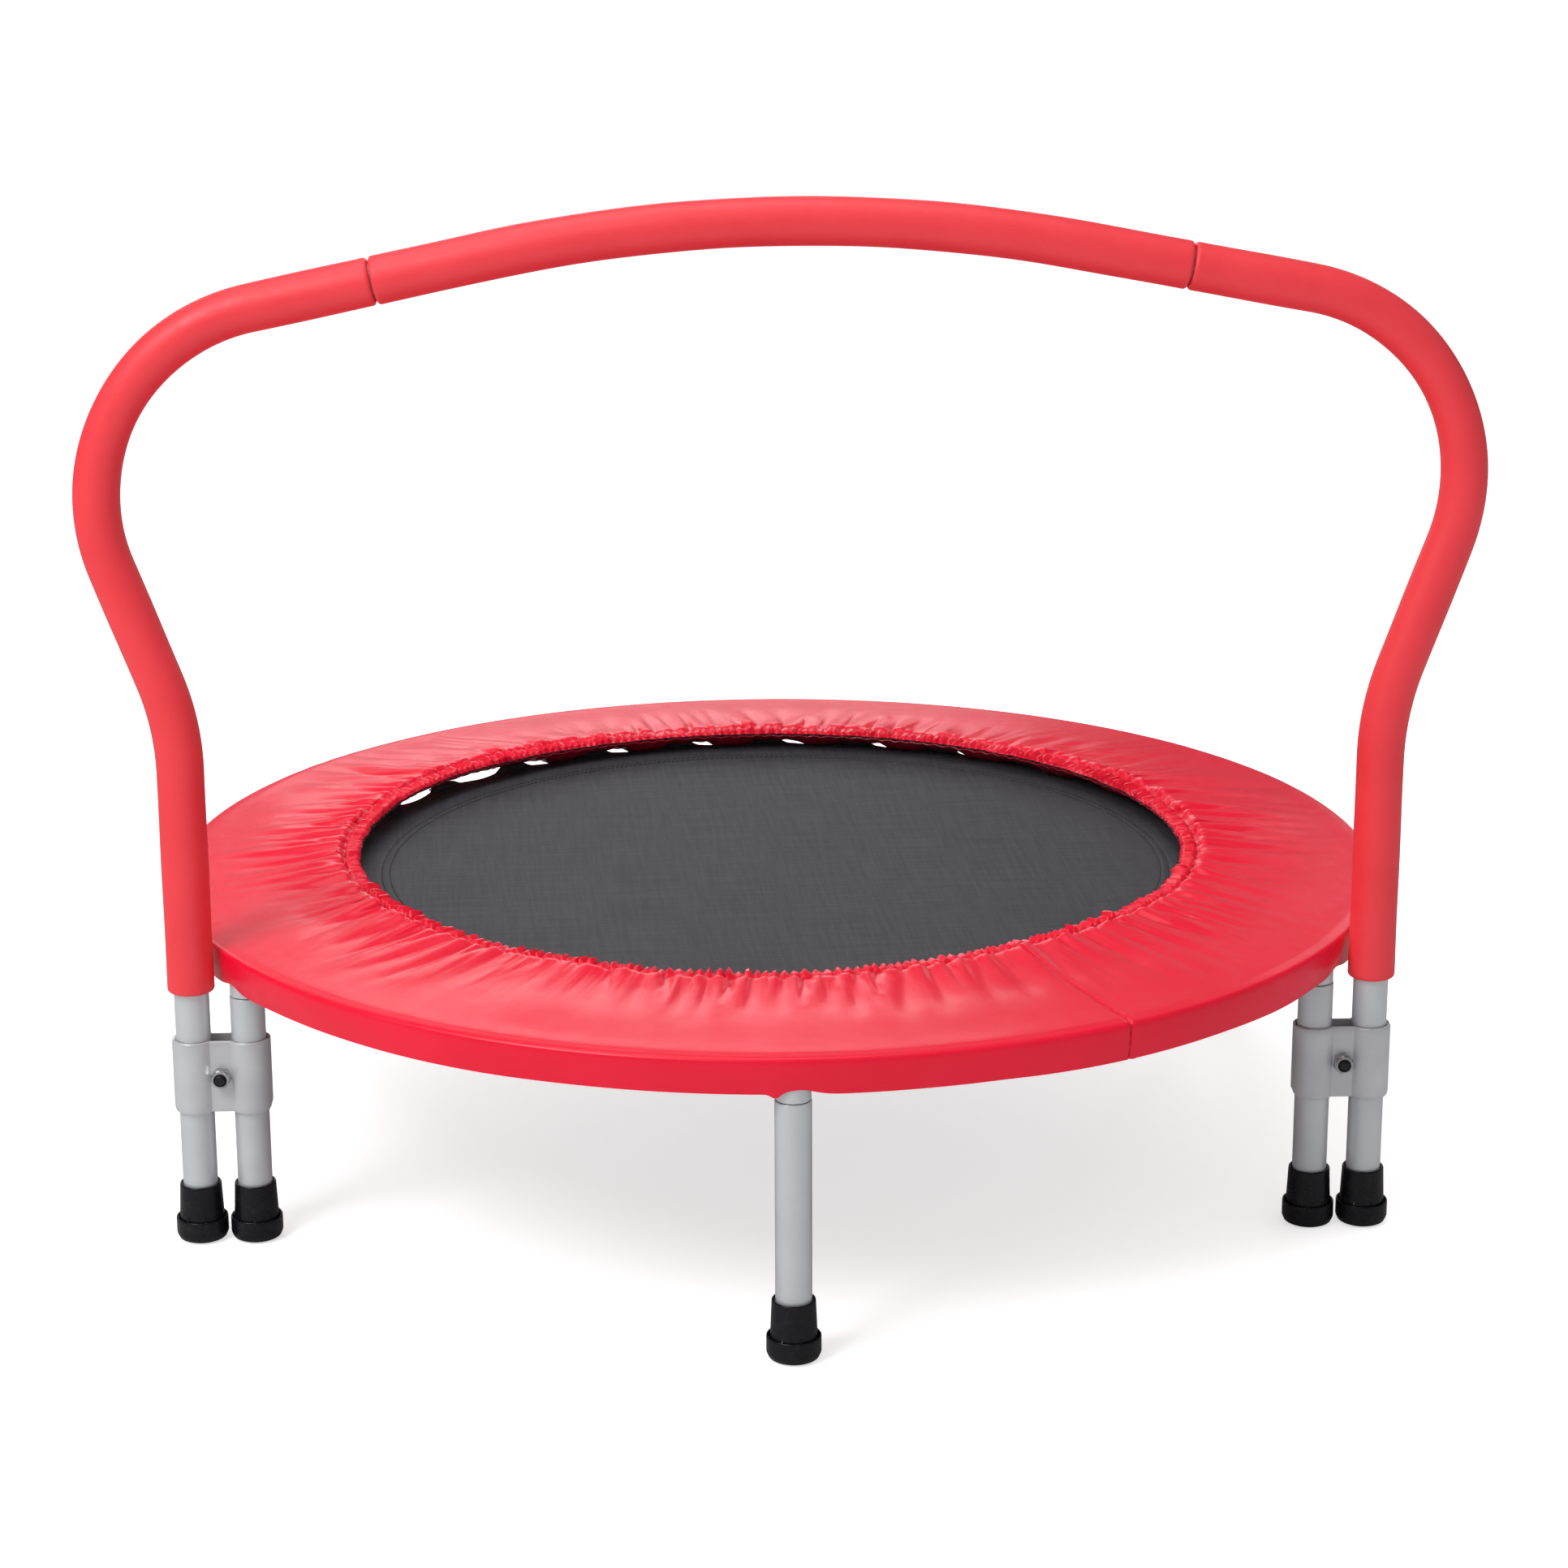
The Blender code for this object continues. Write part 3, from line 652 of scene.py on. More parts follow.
def foam_skin():
    look = Look("foam_skin", (0.76, 0.010, 0.022), 0.50)
    tone = look.patches(14, 4)
    look.tint(tone, (0.82, 0.030, 0.042), (0.89, 0.040, 0.055))
    look.rough(120, 3, 0.44, 0.56)
    look.bump(look.noise(1100, 3, 0.6), 0.00012, 0.5)
    look.bump(look.noise(30, 2), 0.0006, 0.12)
    look.set("Specular IOR Level", 0.55)
    return look.material


def thread(name, colour):
    look = Look(name, colour, 0.55)
    x, y, z = look.axes()
    ply = look.maths("SINE", look.times(look.plus(look.plus(x, y), z), 2 * pi / THREAD_PLY))
    dark = tuple(c * 0.7 for c in colour)
    look.tint(look.ramp(ply, -1, 1), dark, colour)
    look.bump(ply, 0.00008, 0.5)
    look.set("Sheen Weight", 0.2)
    return look.material


def floor_surface():
    look = Look("floor_surface", (0.93, 0.93, 0.93), 0.6)
    pale = look.mix(look.patches(2, 3), (0.925, 0.925, 0.925, 1), (0.935, 0.935, 0.935, 1))
    # Painted reflection: in glossy rays the floor's colour drops to a mid grey, so shiny surfaces reflect a
    # darker floor than the camera sees.
    painted_dim_reflection = look.node("ShaderNodeLightPath").outputs["Is Glossy Ray"]
    look.set("Base Color", look.mix(painted_dim_reflection, pale, (0.40, 0.40, 0.40, 1)))
    look.bump(look.noise(60, 3), 0.0002, 0.05)
    look.set("Emission Color", (1, 1, 1, 1))
    seen = look.node("ShaderNodeLightPath").outputs["Is Camera Ray"]
    look.set("Emission Strength", look.times(seen, 0.60))
    return look.material


def make_looks():
    """Every material with the name of its slot."""
    zinc = plated("zinc", (0.72, 0.72, 0.73), 0.24, 160)
    return {
        "powder": (powder_coat(), "powder_coat"),
        "weld": (plated("weld", (0.45, 0.46, 0.47), 0.42, 300), "powder_coat"),
        "clamp": (clamp_paint(), "clamp_steel"),
        "zinc": (zinc, "zinc"),
        "v_ring": (zinc, "spring_steel"),
        "spring": (plated("spring_steel", (0.58, 0.58, 0.59), 0.30, 220), "spring_steel"),
        "black": (black_steel(), "black_steel"),
        "rubber": (rubber(), "rubber"),
        "foam": (foam_skin(), "grip_foam"),
        "mat": (mat_weave(), "mat_fabric"),
        "mat_thread": (thread("mat_thread", (0.012, 0.012, 0.014)), "mat_fabric"),
        "cover": (cover_fabric(), "pad_fabric"),
        # The lining is the cover fabric at 0.62 brightness: painted shade for the under layer that lies in
        # shadow beneath the cover.
        "lining": (cover_fabric("lining_fabric_painted_shade", 0.62), "pad_fabric"),
        "hem_thread": (thread("hem_thread", (0.88, 0.16, 0.20)), "pad_fabric"),
        "edge_thread": (thread("edge_thread", (0.025, 0.018, 0.020)), "pad_fabric"),
        "seam_thread": (thread("seam_thread", (0.34, 0.006, 0.020)), "pad_fabric"),
    }


# Frame, legs and feet


def turned_on_ring(angle_deg, radius=RING_RADIUS, z=0.0):
    angle = radians(angle_deg)
    place = Matrix.Translation((radius * cos(angle), radius * sin(angle), z))
    return place @ Matrix.Rotation(angle, 4, "Z")


def build_ring(looks):
    circle = polar(RING_RADIUS, circle_angles(224), RING_HEIGHT)
    shapes = [tube(circle, TUBE_RADIUS, 28, True)]
    stub_radius = TUBE_RADIUS - 0.4 * MM
    profile = [
        (0, RING_HEIGHT - 4 * MM),
        (stub_radius, RING_HEIGHT - 4 * MM),
        (stub_radius, STUB_BOTTOM + 0.5 * MM),
        (stub_radius - 0.5 * MM, STUB_BOTTOM),
        (STUD_RADIUS, STUB_BOTTOM),
        (STUD_RADIUS, STUB_BOTTOM - STUD_LENGTH),
        (0, STUB_BOTTOM - STUD_LENGTH),
    ]
    for angle in LEG_ANGLES.values():
        shapes.append(moved(lathe(profile, 48), turned_on_ring(angle)))
    piece("ring_frame", merged(shapes), looks["powder"], "frame", "frame_ring")
    beads = [weld_bead(angle) for angle in LEG_ANGLES.values()]
    piece("stub_welds", merged(beads), looks["weld"], "frame")


def weld_bead(angle_deg):
    """The rippled bead where a stub meets the underside of the ring tube."""
    turn = circle_angles(72)
    across = TUBE_RADIUS * 0.96
    ripple = 1 + 0.18 * np.sin(turn * 26)
    radius = across + 0.5 * MM
    x, y = radius * np.cos(turn), radius * np.sin(turn)
    drop = np.sqrt(np.maximum(TUBE_RADIUS**2 - x**2, 0)) * 0.92
    z = RING_HEIGHT - np.maximum(drop, 3.0 * MM)
    bead = tube(np.stack([x, y, z], 1), 1.3 * MM * ripple, 8, True)
    return moved(bead, turned_on_ring(angle_deg))


def leg_shape():
    top = LEG_HIGH.z
    bottom = LEG_LOW.z
    outline = [
        (TUBE_RADIUS, bottom),
        (TUBE_RADIUS, top),
        (PLUG_BORE, top),
        (PLUG_BORE, top - PLUG_LENGTH),
        (TUBE_BORE, top - PLUG_LENGTH),
        (TUBE_BORE, bottom),
    ]
    return lathe(rounded(outline, 0.6 * MM, 3), 56, True)


def foot_shape():
    """A rubber foot: a cup-shaped collar on the floor, a tapered sleeve and ribs between them."""
    rim = FOOT_RADIUS
    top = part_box("foot_front")[1].z
    outline = [
        (0, 0),
        (rim - 4.5 * MM, 0),
        (rim - 1.6 * MM, 1.4 * MM),
        (rim, 5.0 * MM),
        (rim, 16.2 * MM),
        (rim - 0.5 * MM, 17.0 * MM),
        (rim - 1.3 * MM, 16.6 * MM),
        (rim - 1.6 * MM, 12.5 * MM),
        (16.3 * MM, 12.5 * MM),
        (15.0 * MM, top - 0.7 * MM),
        (14.4 * MM, top),
        (13.2 * MM, top - 0.5 * MM),
        (12.7 * MM, top - 2.0 * MM),
        (12.7 * MM, 6 * MM),
        (0, 6 * MM),
    ]
    shapes = [lathe(rounded(outline, 0.7 * MM, 3, closed=False), 64)]
    for k in range(8):
        shapes.append(moved(foot_rib(), Matrix.Rotation(2 * pi * (k + 0.35) / 8, 4, "Z")))
    return merged(shapes)


def foot_rib():
    """A thin triangular rib from the sleeve down to the collar's rim."""
    half = 0.45 * MM
    side = [(15.2, 12.0), (17.6, 12.0), (17.9, 16.6), (16.6, 17.6), (15.4, 21.8)]
    near = [(r * MM, -half, z * MM) for r, z in side]
    far = [(r * MM, half, z * MM) for r, z in side]
    count = len(side)
    faces = [list(range(count)), list(range(2 * count - 1, count - 1, -1))]
    for i in range(count):
        n = (i + 1) % count
        faces.append([i, count + i, count + n, n])
    return np.array(near + far), faces


def build_legs(looks):
    leg, foot = leg_shape(), foot_shape()
    for name, angle in LEG_ANGLES.items():
        place = turned_on_ring(angle)
        body = "leg_" + name
        piece("leg_tube_" + name, moved(leg, place), looks["powder"], body, "leg_" + name)
        piece("rubber_foot_" + name, moved(foot, place), looks["rubber"], body, "foot_" + name)
    for side, x in (("left", -HANDLE_X), ("right", HANDLE_X)):
        place = Matrix.Translation((x, HANDLE_Y, 0))
        name = "handle_foot_" + side
        piece("rubber_" + name, moved(foot, place), looks["rubber"], "handle", name)


# Springs and V rings


def spring_shape():
    """A close-wound spring with a hook at each end, running along +X from the ring's slot."""
    start, end = 11.5 * MM, 62.5 * MM
    hook = 4.2
    head = spline(in_mm([(-7.2, 0, 4.6), (-7.4, 0, 1.2), (-6.0, 0, 0), (0, 0, 0), (9, 0, 0.4)]), 16)
    turns = np.linspace(0, 2 * pi * COIL_TURNS, COIL_TURNS * 12 + 1)
    x = np.linspace(start, end, len(turns))
    coil = np.stack([x, COIL_RADIUS * np.sin(turns), COIL_RADIUS * np.cos(turns)], 1)
    tail = [(end + 1.0 * MM, 0, COIL_RADIUS)] + in_mm([
        (68, 0, hook), (74, 0, hook), (77.5, 0, hook * 0.7),
        (78.5, 0, 0), (77.2, 0, -hook * 0.75), (72, 0, -hook),
    ])
    return tube(np.vstack([head, coil, spline(tail, 18)]), SPRING_WIRE, 6)


def v_ring_shape():
    """A triangle of wire with rounded corners, its tip towards +X."""
    corners = [(V_RING_TIP, 0), (V_RING_BASE, V_RING_HALF_WIDTH), (V_RING_BASE, -V_RING_HALF_WIDTH)]
    line = rounded(corners, 3.5 * MM, 6)
    return tube(np.column_stack([line, np.full(len(line), MAT_HEIGHT)]), SPRING_WIRE * 1.1, 8, True)


def build_springs(looks):
    shape = spring_shape()
    tilt = atan2(MAT_HEIGHT - RING_HEIGHT, SPRING_ROOT - V_RING_TIP)
    material, slot = looks["spring"]
    rings = []
    for k in range(SPRING_COUNT):
        angle = 90 + 360 * k / SPRING_COUNT
        place = turned_on_ring(angle, SPRING_ROOT, RING_HEIGHT)
        place = place @ Matrix.Rotation(pi, 4, "Z") @ Matrix.Rotation(-tilt, 4, "Y")
        obj = turned_out(mesh_object(f"coil_spring_{k + 1:02d}", *moved(shape, place), material))
        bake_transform(obj)
        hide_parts(f"spring_{k + 1:02d}")
        rings.append(moved(v_ring_shape(), Matrix.Rotation(radians(angle), 4, "Z")))
    piece("v_rings", merged(rings), looks["v_ring"], "mat")


# Mat


def mat_edge(angle):
    """Radius of the mat's scalloped edge: out at each V ring, scooped in between."""
    phase = (angle - pi / 2) * SPRING_COUNT
    between = 0.5 - 0.5 * np.cos(phase)
    return MAT_TAB_RADIUS - MAT_SCOOP * between**0.4


def mat_top(radius, angle):
    """Height of the mat's upper face, with a thicker hem, stitches pressed in and loops at the V rings."""
    edge = mat_edge(angle)
    hem = smooth(MAT_HEM_RADIUS - 1 * MM, MAT_HEM_RADIUS + 0.6 * MM, radius)
    z = MAT_HIGH.z - 0.5 * MM + 0.5 * MM * hem
    for stitch in MAT_STITCH_RADII:
        z = z - 0.7 * MM * bell(radius - stitch, 1.5 * MM)
    pull = 0.5 - 0.5 * np.cos((angle - pi / 2) * SPRING_COUNT)
    z = z - 0.9 * MM * pull * smooth(0.315, edge, radius)
    loop = (1 - smooth(0.16, 0.50, pull)) * smooth(0.3385, 0.3425, radius)
    z = z + 3.2 * MM * loop
    return z + 0.25 * MM * ring_noise(angle + radius * 3, 90, 5) * smooth(0.28, 0.34, radius)


def build_mat(looks):
    columns = SPRING_COUNT * 24
    angle = circle_angles(columns)
    shares = np.concatenate([
        np.linspace(0.02, 0.82, 9), np.linspace(0.83, 0.9, 16), np.linspace(0.905, 0.995, 26),
    ])
    edge = mat_edge(angle)
    rows = []
    for share in shares:
        radius = np.minimum(share * MAT_TAB_RADIUS, edge - (1 - share) * 2 * MM)
        rows.append(polar(radius, angle, mat_top(radius, angle)))
    for drop, grow in ((0.3, 0.0), (1.0, 0.5), (1.8, 0.2)):
        rows.append(polar(edge + grow * MM, angle, mat_top(edge, angle) - drop * MM))
    for share in (0.99, 0.9, 0.84, 0.4, 0.02):
        radius = share * edge
        thick = MAT_HEM_THICKNESS if share > 0.85 else MAT_THICKNESS
        rows.append(polar(radius, angle, mat_top(radius, angle) - thick))
    points = np.vstack(rows)
    faces = capped_faces(len(rows), columns)
    piece("jumping_mat", (points, faces), looks["mat"], "mat", "mat")
    shapes = [mat_stitches(radius) for radius in MAT_STITCH_RADII]
    piece("mat_stitches", merged(shapes), looks["mat_thread"], "mat")


def mat_stitches(radius):
    count = int(2 * pi * radius / MAT_STITCH_STEP)
    angle = circle_angles(count)
    points = polar(radius, angle, mat_top(np.full(count, radius), angle))
    tangents = np.stack([-np.sin(angle), np.cos(angle), np.zeros(count)], 1)
    normals = np.tile((0.0, 0.0, 1.0), (count, 1))
    return threads(points, normals, tangents, 3.4 * MM, 0.65 * MM, 0.10 * MM)


# Cover


def cover_line():
    """(radius, height) from the hem, over the crown and the top edge, to the foot of the skirt."""
    return [
        (HEM_RADIUS, HEM_HEIGHT - 0.5 * MM),
        (HEM_RADIUS + 6 * MM, HEM_HEIGHT + 0.3 * MM),
        (0.345, HEM_HEIGHT + 0.1 * MM),
        (0.400, 0.2249),
        (RING_RADIUS, 0.2217),
        (0.4530, 0.2207),
        (PAD_RADIUS - 2.4 * MM, 0.2198),
        (PAD_RADIUS - 0.9 * MM, 0.2187),
        (PAD_RADIUS, 0.2164),
        (PAD_RADIUS - 0.3 * MM, 0.2070),
        (PAD_RADIUS - 2.2 * MM, SKIRT_FOOT),
    ]


def cover_rows(places):
    """Points of the cover's line at the given shares of its length, and their distances from the hem."""
    line = spline(cover_line(), 1600)
    along = distances(line)
    at = np.asarray(places) * along[-1]
    return np.stack([np.interp(at, along, line[:, k]) for k in (0, 1)], 1), at


def turned_rows(line, angle):
    """The rows of a (radius, height) line turned round the Z axis, as a grid of points."""
    return polar(line[:, 0][:, None], angle[None, :], line[:, 1][:, None])


def side_share(angle):
    """1 at the left and right of the cover, 0 at its front and back."""
    return smooth(0.30, 0.80, np.abs(np.cos(angle)))


def gathered_waves(angle, along):
    """How far the waves of the newly gathered cloth stand off the cover's line, above and below it."""
    sweep = angle + 0.09 * ring_noise(angle, 27, 12) * smooth(0.0, 0.09, along)
    wave = np.sin(sweep * FOLDS + 1.6 * ring_noise(angle, 17, 13) + 0.6 * ring_noise(angle, 41, 14))
    end = 0.100 + 0.020 * side_share(angle) + 0.030 * ring_noise(angle, 37, 15)
    tall = FOLD_HEIGHT * (1 + 0.28 * ring_noise(angle, 29, 16))
    return wave * tall * smooth(end, 0.012, along) * smooth(-0.002, 0.018, along)


def settled_cover():
    """How far each point of the cover moves as the gathered cloth is pulled taut and settles."""
    columns, rows = CLOTH_COLUMNS, CLOTH_ROWS
    line, along = cover_rows(np.linspace(0, 1, rows))
    angle = circle_angles(columns)
    flat = turned_rows(line, angle)
    spread, place = np.meshgrid(angle, along)
    start = flat + grid_normals(flat) * gathered_waves(spread, place)[:, :, None]
    pulled = start.copy()
    pulled[:, :, :2] *= (1 + PULL / PAD_RADIUS * smooth(0.0, 0.12, along))[:, None, None]
    sheet = mesh_object("cover_cloth", start.reshape(-1, 3), grid_faces(rows, columns))
    sheet.shape_key_add(name="Basis")
    key = sheet.shape_key_add(name="Pulled")
    key.data.foreach_set("co", pulled.astype(np.float32).ravel())
    for value, number in ((0.0, 1), (1.0, SETTLE_FRAMES - 4)):
        key.value = value
        key.keyframe_insert("value", frame=number)
    pins = sheet.vertex_groups.new(name="held")
    held = [j * columns + i for j in range(rows) if not 0 < along[j] < CLOTH_FREE for i in range(columns)]
    pins.add(held, 1.0, "REPLACE")
    cloth = sheet.modifiers.new("Cloth", "CLOTH")
    settings = cloth.settings
    settings.quality = 5
    settings.mass = 0.15
    settings.tension_stiffness = 20
    settings.compression_stiffness = 20
    settings.shear_stiffness = 5
    settings.bending_stiffness = 0.5
    settings.air_damping = 3
    settings.vertex_group_mass = "held"
    settings.effector_weights.gravity = 0.5
    cloth.collision_settings.use_collision = False
    scene = bpy.context.scene
    for number in range(1, SETTLE_FRAMES + 1):
        scene.frame_set(number)
    graph = bpy.context.evaluated_depsgraph_get()
    settled = sheet.evaluated_get(graph).to_mesh()
    out = np.empty(rows * columns * 3, np.float32)
    settled.vertices.foreach_get("co", out)
    scene.frame_set(1)
    bpy.data.objects.remove(sheet, do_unlink=True)
    return out.reshape(rows, columns, 3).astype(float) - flat


def puffed(move, normals, along):
    """Turns the cloth's waves into puffs with sharp creases between them that fade out to the top edge."""
    rise = (move * normals).sum(2)
    across = move - normals * rise[:, :, None]
    rise = np.sqrt(rise**2 + (0.35 * MM) ** 2) - 0.35 * MM
    rise = PUFF_LIMIT * np.tanh(rise / PUFF_LIMIT)
    rise = rise - 0.7 * rise.mean(axis=1, keepdims=True)
    size = np.linalg.norm(across, axis=2)
    kept = DRIFT_LIMIT * np.tanh(size / DRIFT_LIMIT)
    across = across * (kept / np.maximum(size, 1e-9))[:, :, None]
    return (across + normals * rise[:, :, None]) * smooth(0.150, 0.070, along)[:, None, None]


def refined(grid, columns, places):
    """A closed grid of values, made finer both ways along smooth curves; places are shares of its rows."""
    for axis in (1, 0):
        size = grid.shape[axis]
        wrap = axis == 1
        at = np.arange(columns) * size / columns if wrap else np.asarray(places) * (size - 1)
        first = np.minimum(np.floor(at).astype(int), size - 1)
        t = (at - first).reshape((1, -1, 1) if wrap else (-1, 1, 1))
        take = [first + k for k in (-1, 0, 1, 2)]
        take = [np.mod(k, size) if wrap else np.clip(k, 0, size - 1) for k in take]
        grid = cubic([np.take(grid, k, axis=axis) for k in take], t)
    return grid


def ridges(angle, count, wander, seed):
    """Round-topped folds with sharp valleys between them, from 0 to 1, unevenly spaced."""
    near = wander * ring_noise(angle, count // 3, seed)
    far = wander * ring_noise(angle, count // 9, seed + 1)
    return np.abs(np.sin(angle * count / 2 + near + far))


def gather_height(angle, along):
    """How far the gathers lift the cloth: beads in the channel, creases that run out of it and streaks."""
    sweep = angle + 0.06 * ring_noise(angle, 40, 21) * smooth(0.0, 0.12, along)
    strength = 0.80 + 0.35 * ring_noise(angle, 75, 22)
    reach = 0.026 + 0.018 * ring_noise(angle, 110, 23)
    fine = ridges(sweep, GATHERS, 1.5, 31)
    middle = ridges(sweep, GATHERS // 2 - 6, 1.9, 41)
    channel = smooth(0, 2.5 * MM, along) * (1 - smooth(CHANNEL - 3 * MM, CHANNEL, along))
    past = smooth(CHANNEL - 1 * MM, CHANNEL + 5 * MM, along)
    away = np.maximum(along - CHANNEL, 0)
    beads = (0.05 + 0.95 * fine) * (1 + 0.40 * ring_noise(sweep + 0.9 * along, 520, 33))
    lift = (3.6 + 0.8 * side_share(angle)) * MM * channel * beads
    lift = lift + 1.8 * MM * fine * past * np.exp(-away / (6 * MM))
    lift = lift + 2.4 * MM * middle * past * np.exp(-away / np.maximum(reach * 0.6, 6 * MM))
    return lift * strength + streak_height(angle, away) * past


def streak_height(angle, away):
    """Taut folds of uneven spacing and length, most of them at the two sides."""
    side = side_share(angle)
    total = 0.0
    for count, wander, tall, seed in ((150, 2.4, 1.0, 51), (82, 2.2, 2.2, 55), (48, 1.8, 3.0, 59)):
        lean = angle + 0.07 * ring_noise(angle, count // 3, seed + 2) * smooth(0.0, 0.10, away)
        reach = (0.040 + 0.065 * side) * (1 + 0.60 * ring_noise(angle, count // 2, seed + 3))
        share = 0.5 + 0.5 * ring_noise(angle, count // 3, seed + 4)
        fade = smooth(1.0, 0.0, away / np.maximum(reach, 10 * MM))
        total = total + tall * share * fade * ridges(lean, count, wander, seed)
    return total * (0.55 + 1.0 * side) * MM


def hem_shift(angle):
    """How far the floating hem stands inwards of and above its circle, most at the front right and left."""
    front = smooth(0.3, -0.8, np.sin(angle))
    right = bell(turn_from(angle, radians(-56)), radians(24))
    left = bell(turn_from(angle, radians(150)), radians(22))
    return (3.2 * right + 3.5 * np.cos(angle)) * MM, (1.2 * front + 3.6 * right + 2.6 * left) * MM


def seam_dip(angle, along):
    """The groove of the sewn seam that runs across the cover."""
    radius = HEM_RADIUS + (PAD_RADIUS - HEM_RADIUS) * np.clip(along / 0.15, 0, 1)
    arc = turn_from(angle, SEAM_ANGLE) * radius
    pucker = 0.5 + 0.5 * np.cos(along / (7.5 * MM) * 2 * pi)
    groove = bell(arc, 1.1 * MM) * (0.8 + 0.5 * pucker)
    shoulder = bell(arc - 3 * MM, 3 * MM) * 0.5
    return (shoulder - 1.3 * groove) * MM


def skirt_change(angle, share):
    """Outward and upward moves of the skirt: soft waves, a sag at the back, an arch over each leg and a
    point that hangs beside the front leg."""
    out = 0.7 * MM * ring_noise(angle, 46, 61) * share
    droop = -2.0 * MM * smooth(0.2, 1.0, ring_noise(angle, 36, 62)) * share
    back = smooth(0.60, 0.95, np.sin(angle))
    droop = droop - 7.0 * MM * back * (0.55 + 0.45 * np.cos(angle * 14 + 0.6)) * share
    arch = np.zeros_like(angle)
    for name, leg in LEG_ANGLES.items():
        off = turn_from(angle, radians(leg)) * PAD_RADIUS
        arch = arch + 3.2 * MM * bell(off - 5 * MM, 13 * MM)
        if name == "front":
            arch = arch - 3.4 * MM * bell(off + 12 * MM, 4 * MM)
    return out, droop + arch * share**2


def grid_normals(points):
    """Unit normals of a closed grid of points, pointing up or outwards."""
    round_way = np.roll(points, -1, 1) - np.roll(points, 1, 1)
    out_way = np.gradient(points, axis=0)
    normals = np.cross(out_way, round_way)
    return normals / np.linalg.norm(normals, axis=2)[:, :, None]


def cover_surface():
    """The cover's outer face as a grid of points, with their normals and each row's and column's place."""
    columns = COVER_COLUMNS
    places = np.concatenate([
        np.arange(0, 0.09, 0.0052), np.arange(0.09, 0.70, 0.0135),
        np.arange(0.70, 0.86, 0.006), np.linspace(0.86, 1, 9),
    ])
    line, along = cover_rows(places)
    angle = circle_angles(columns)
    flat = turned_rows(line, angle)
    spread, place = np.meshgrid(angle, along)
    normals = grid_normals(flat)
    base = flat + puffed(refined(settled_cover(), columns, places), normals, along)
    outward = polar(1.0, spread, 0.0)
    inward, up = hem_shift(spread)
    near = smooth(0.070, 0.0, place)
    base = base - outward * (inward * near)[:, :, None]
    base[:, :, 2] += up * near
    normals = grid_normals(base)
    lift = gather_height(spread, place) + seam_dip(spread, place)
    points = base + normals * lift[:, :, None]
    scallops = ridges(spread, GATHERS, 1.5, 31) - 0.6 + 0.5 * ring_noise(spread, 190, 34)
    edge = smooth(9 * MM, 0, place) * scallops
    points = points - outward * (1.9 * MM * edge)[:, :, None]
    share = smooth(along[-1] - 24 * MM, along[-1], place)
    out, rise = skirt_change(spread, share)
    points = points + outward * out[:, :, None]
    points[:, :, 2] += rise
    return points, grid_normals(points), along, angle


def closed_sheet(points, normals, thickness):
    """A grid of points given a thickness below, closed at both edges."""
    rows, columns = points.shape[:2]
    under = points - normals * thickness
    both = np.concatenate([points, under[::-1]], 0)
    return both.reshape(-1, 3), grid_faces(2 * rows, columns, True, True)


def build_cover(looks):
    points, normals, along, angle = cover_surface()
    shape = closed_sheet(points, normals, COVER_THICKNESS)
    piece("spring_cover", shape, looks["cover"], "frame", "pad_cover")
    build_hem_stitches(looks, points, normals, along, angle)
    build_hem_edge(looks, points, angle)
    build_seam(looks, points, normals, along, angle)
    build_lining(looks)


def row_at(along, distance):
    return int(np.argmin(np.abs(along - distance)))


def build_hem_stitches(looks, points, normals, along, angle):
    """One pale row of stitches where the elastic channel ends, riding in the valleys of the gathers."""
    row = row_at(along, CHANNEL)
    columns = len(angle)
    picks = np.arange(0, columns, 3)
    middle = points[row][picks]
    tangents = points[row][(picks + 1) % columns] - points[row][picks - 1]
    tangents /= np.linalg.norm(tangents, axis=1)[:, None]
    shape = threads(middle, normals[row][picks], tangents, 3.0 * MM, 0.34 * MM, 0.15 * MM)
    piece("hem_stitches", shape, looks["hem_thread"], "frame")


def build_hem_edge(looks, points, angle):
    """Dark overlock thread that whips over the raw edge of the hem."""
    columns = len(angle)
    turns = 2 * columns
    pick = np.arange(turns) // 2
    edge = points[0][pick % columns]
    inward = -polar(1.0, angle, 0.0)[pick % columns]
    phase = np.arange(turns) % 4
    fall = np.array([0.1, -0.5, -1.2, -0.6])[phase] * MM
    out = np.array([0.2, 0.6, 0.2, 0.6])[phase] * MM
    wander = ring_noise(2 * pi * np.arange(turns) / turns, 900, 81)
    line = edge + inward * out[:, None]
    line[:, 2] += fall * (1 + 0.6 * wander) - 0.4 * MM
    shape = tube(line, 0.20 * MM, 5, True)
    piece("hem_overlock", shape, looks["edge_thread"], "frame")


def build_seam(looks, points, normals, along, angle):
    """Stitches along the seam that joins the ends of the cover's strip."""
    column = int(round(np.mod(SEAM_ANGLE, 2 * pi) / (2 * pi) * len(angle)))
    places = np.arange(CHANNEL + 4 * MM, along[-1] - 2 * MM, 7.5 * MM)
    rows = [row_at(along, place) for place in places]
    middle = points[rows, column]
    ahead = [min(row + 1, len(along) - 1) for row in rows]
    tangents = points[ahead, column] - points[[row - 1 for row in rows], column]
    tangents /= np.linalg.norm(tangents, axis=1)[:, None]
    shape = threads(middle, normals[rows, column], tangents, 5.0 * MM, 0.42 * MM, 0.1 * MM)
    piece("seam_stitches", shape, looks["seam_thread"], "frame")


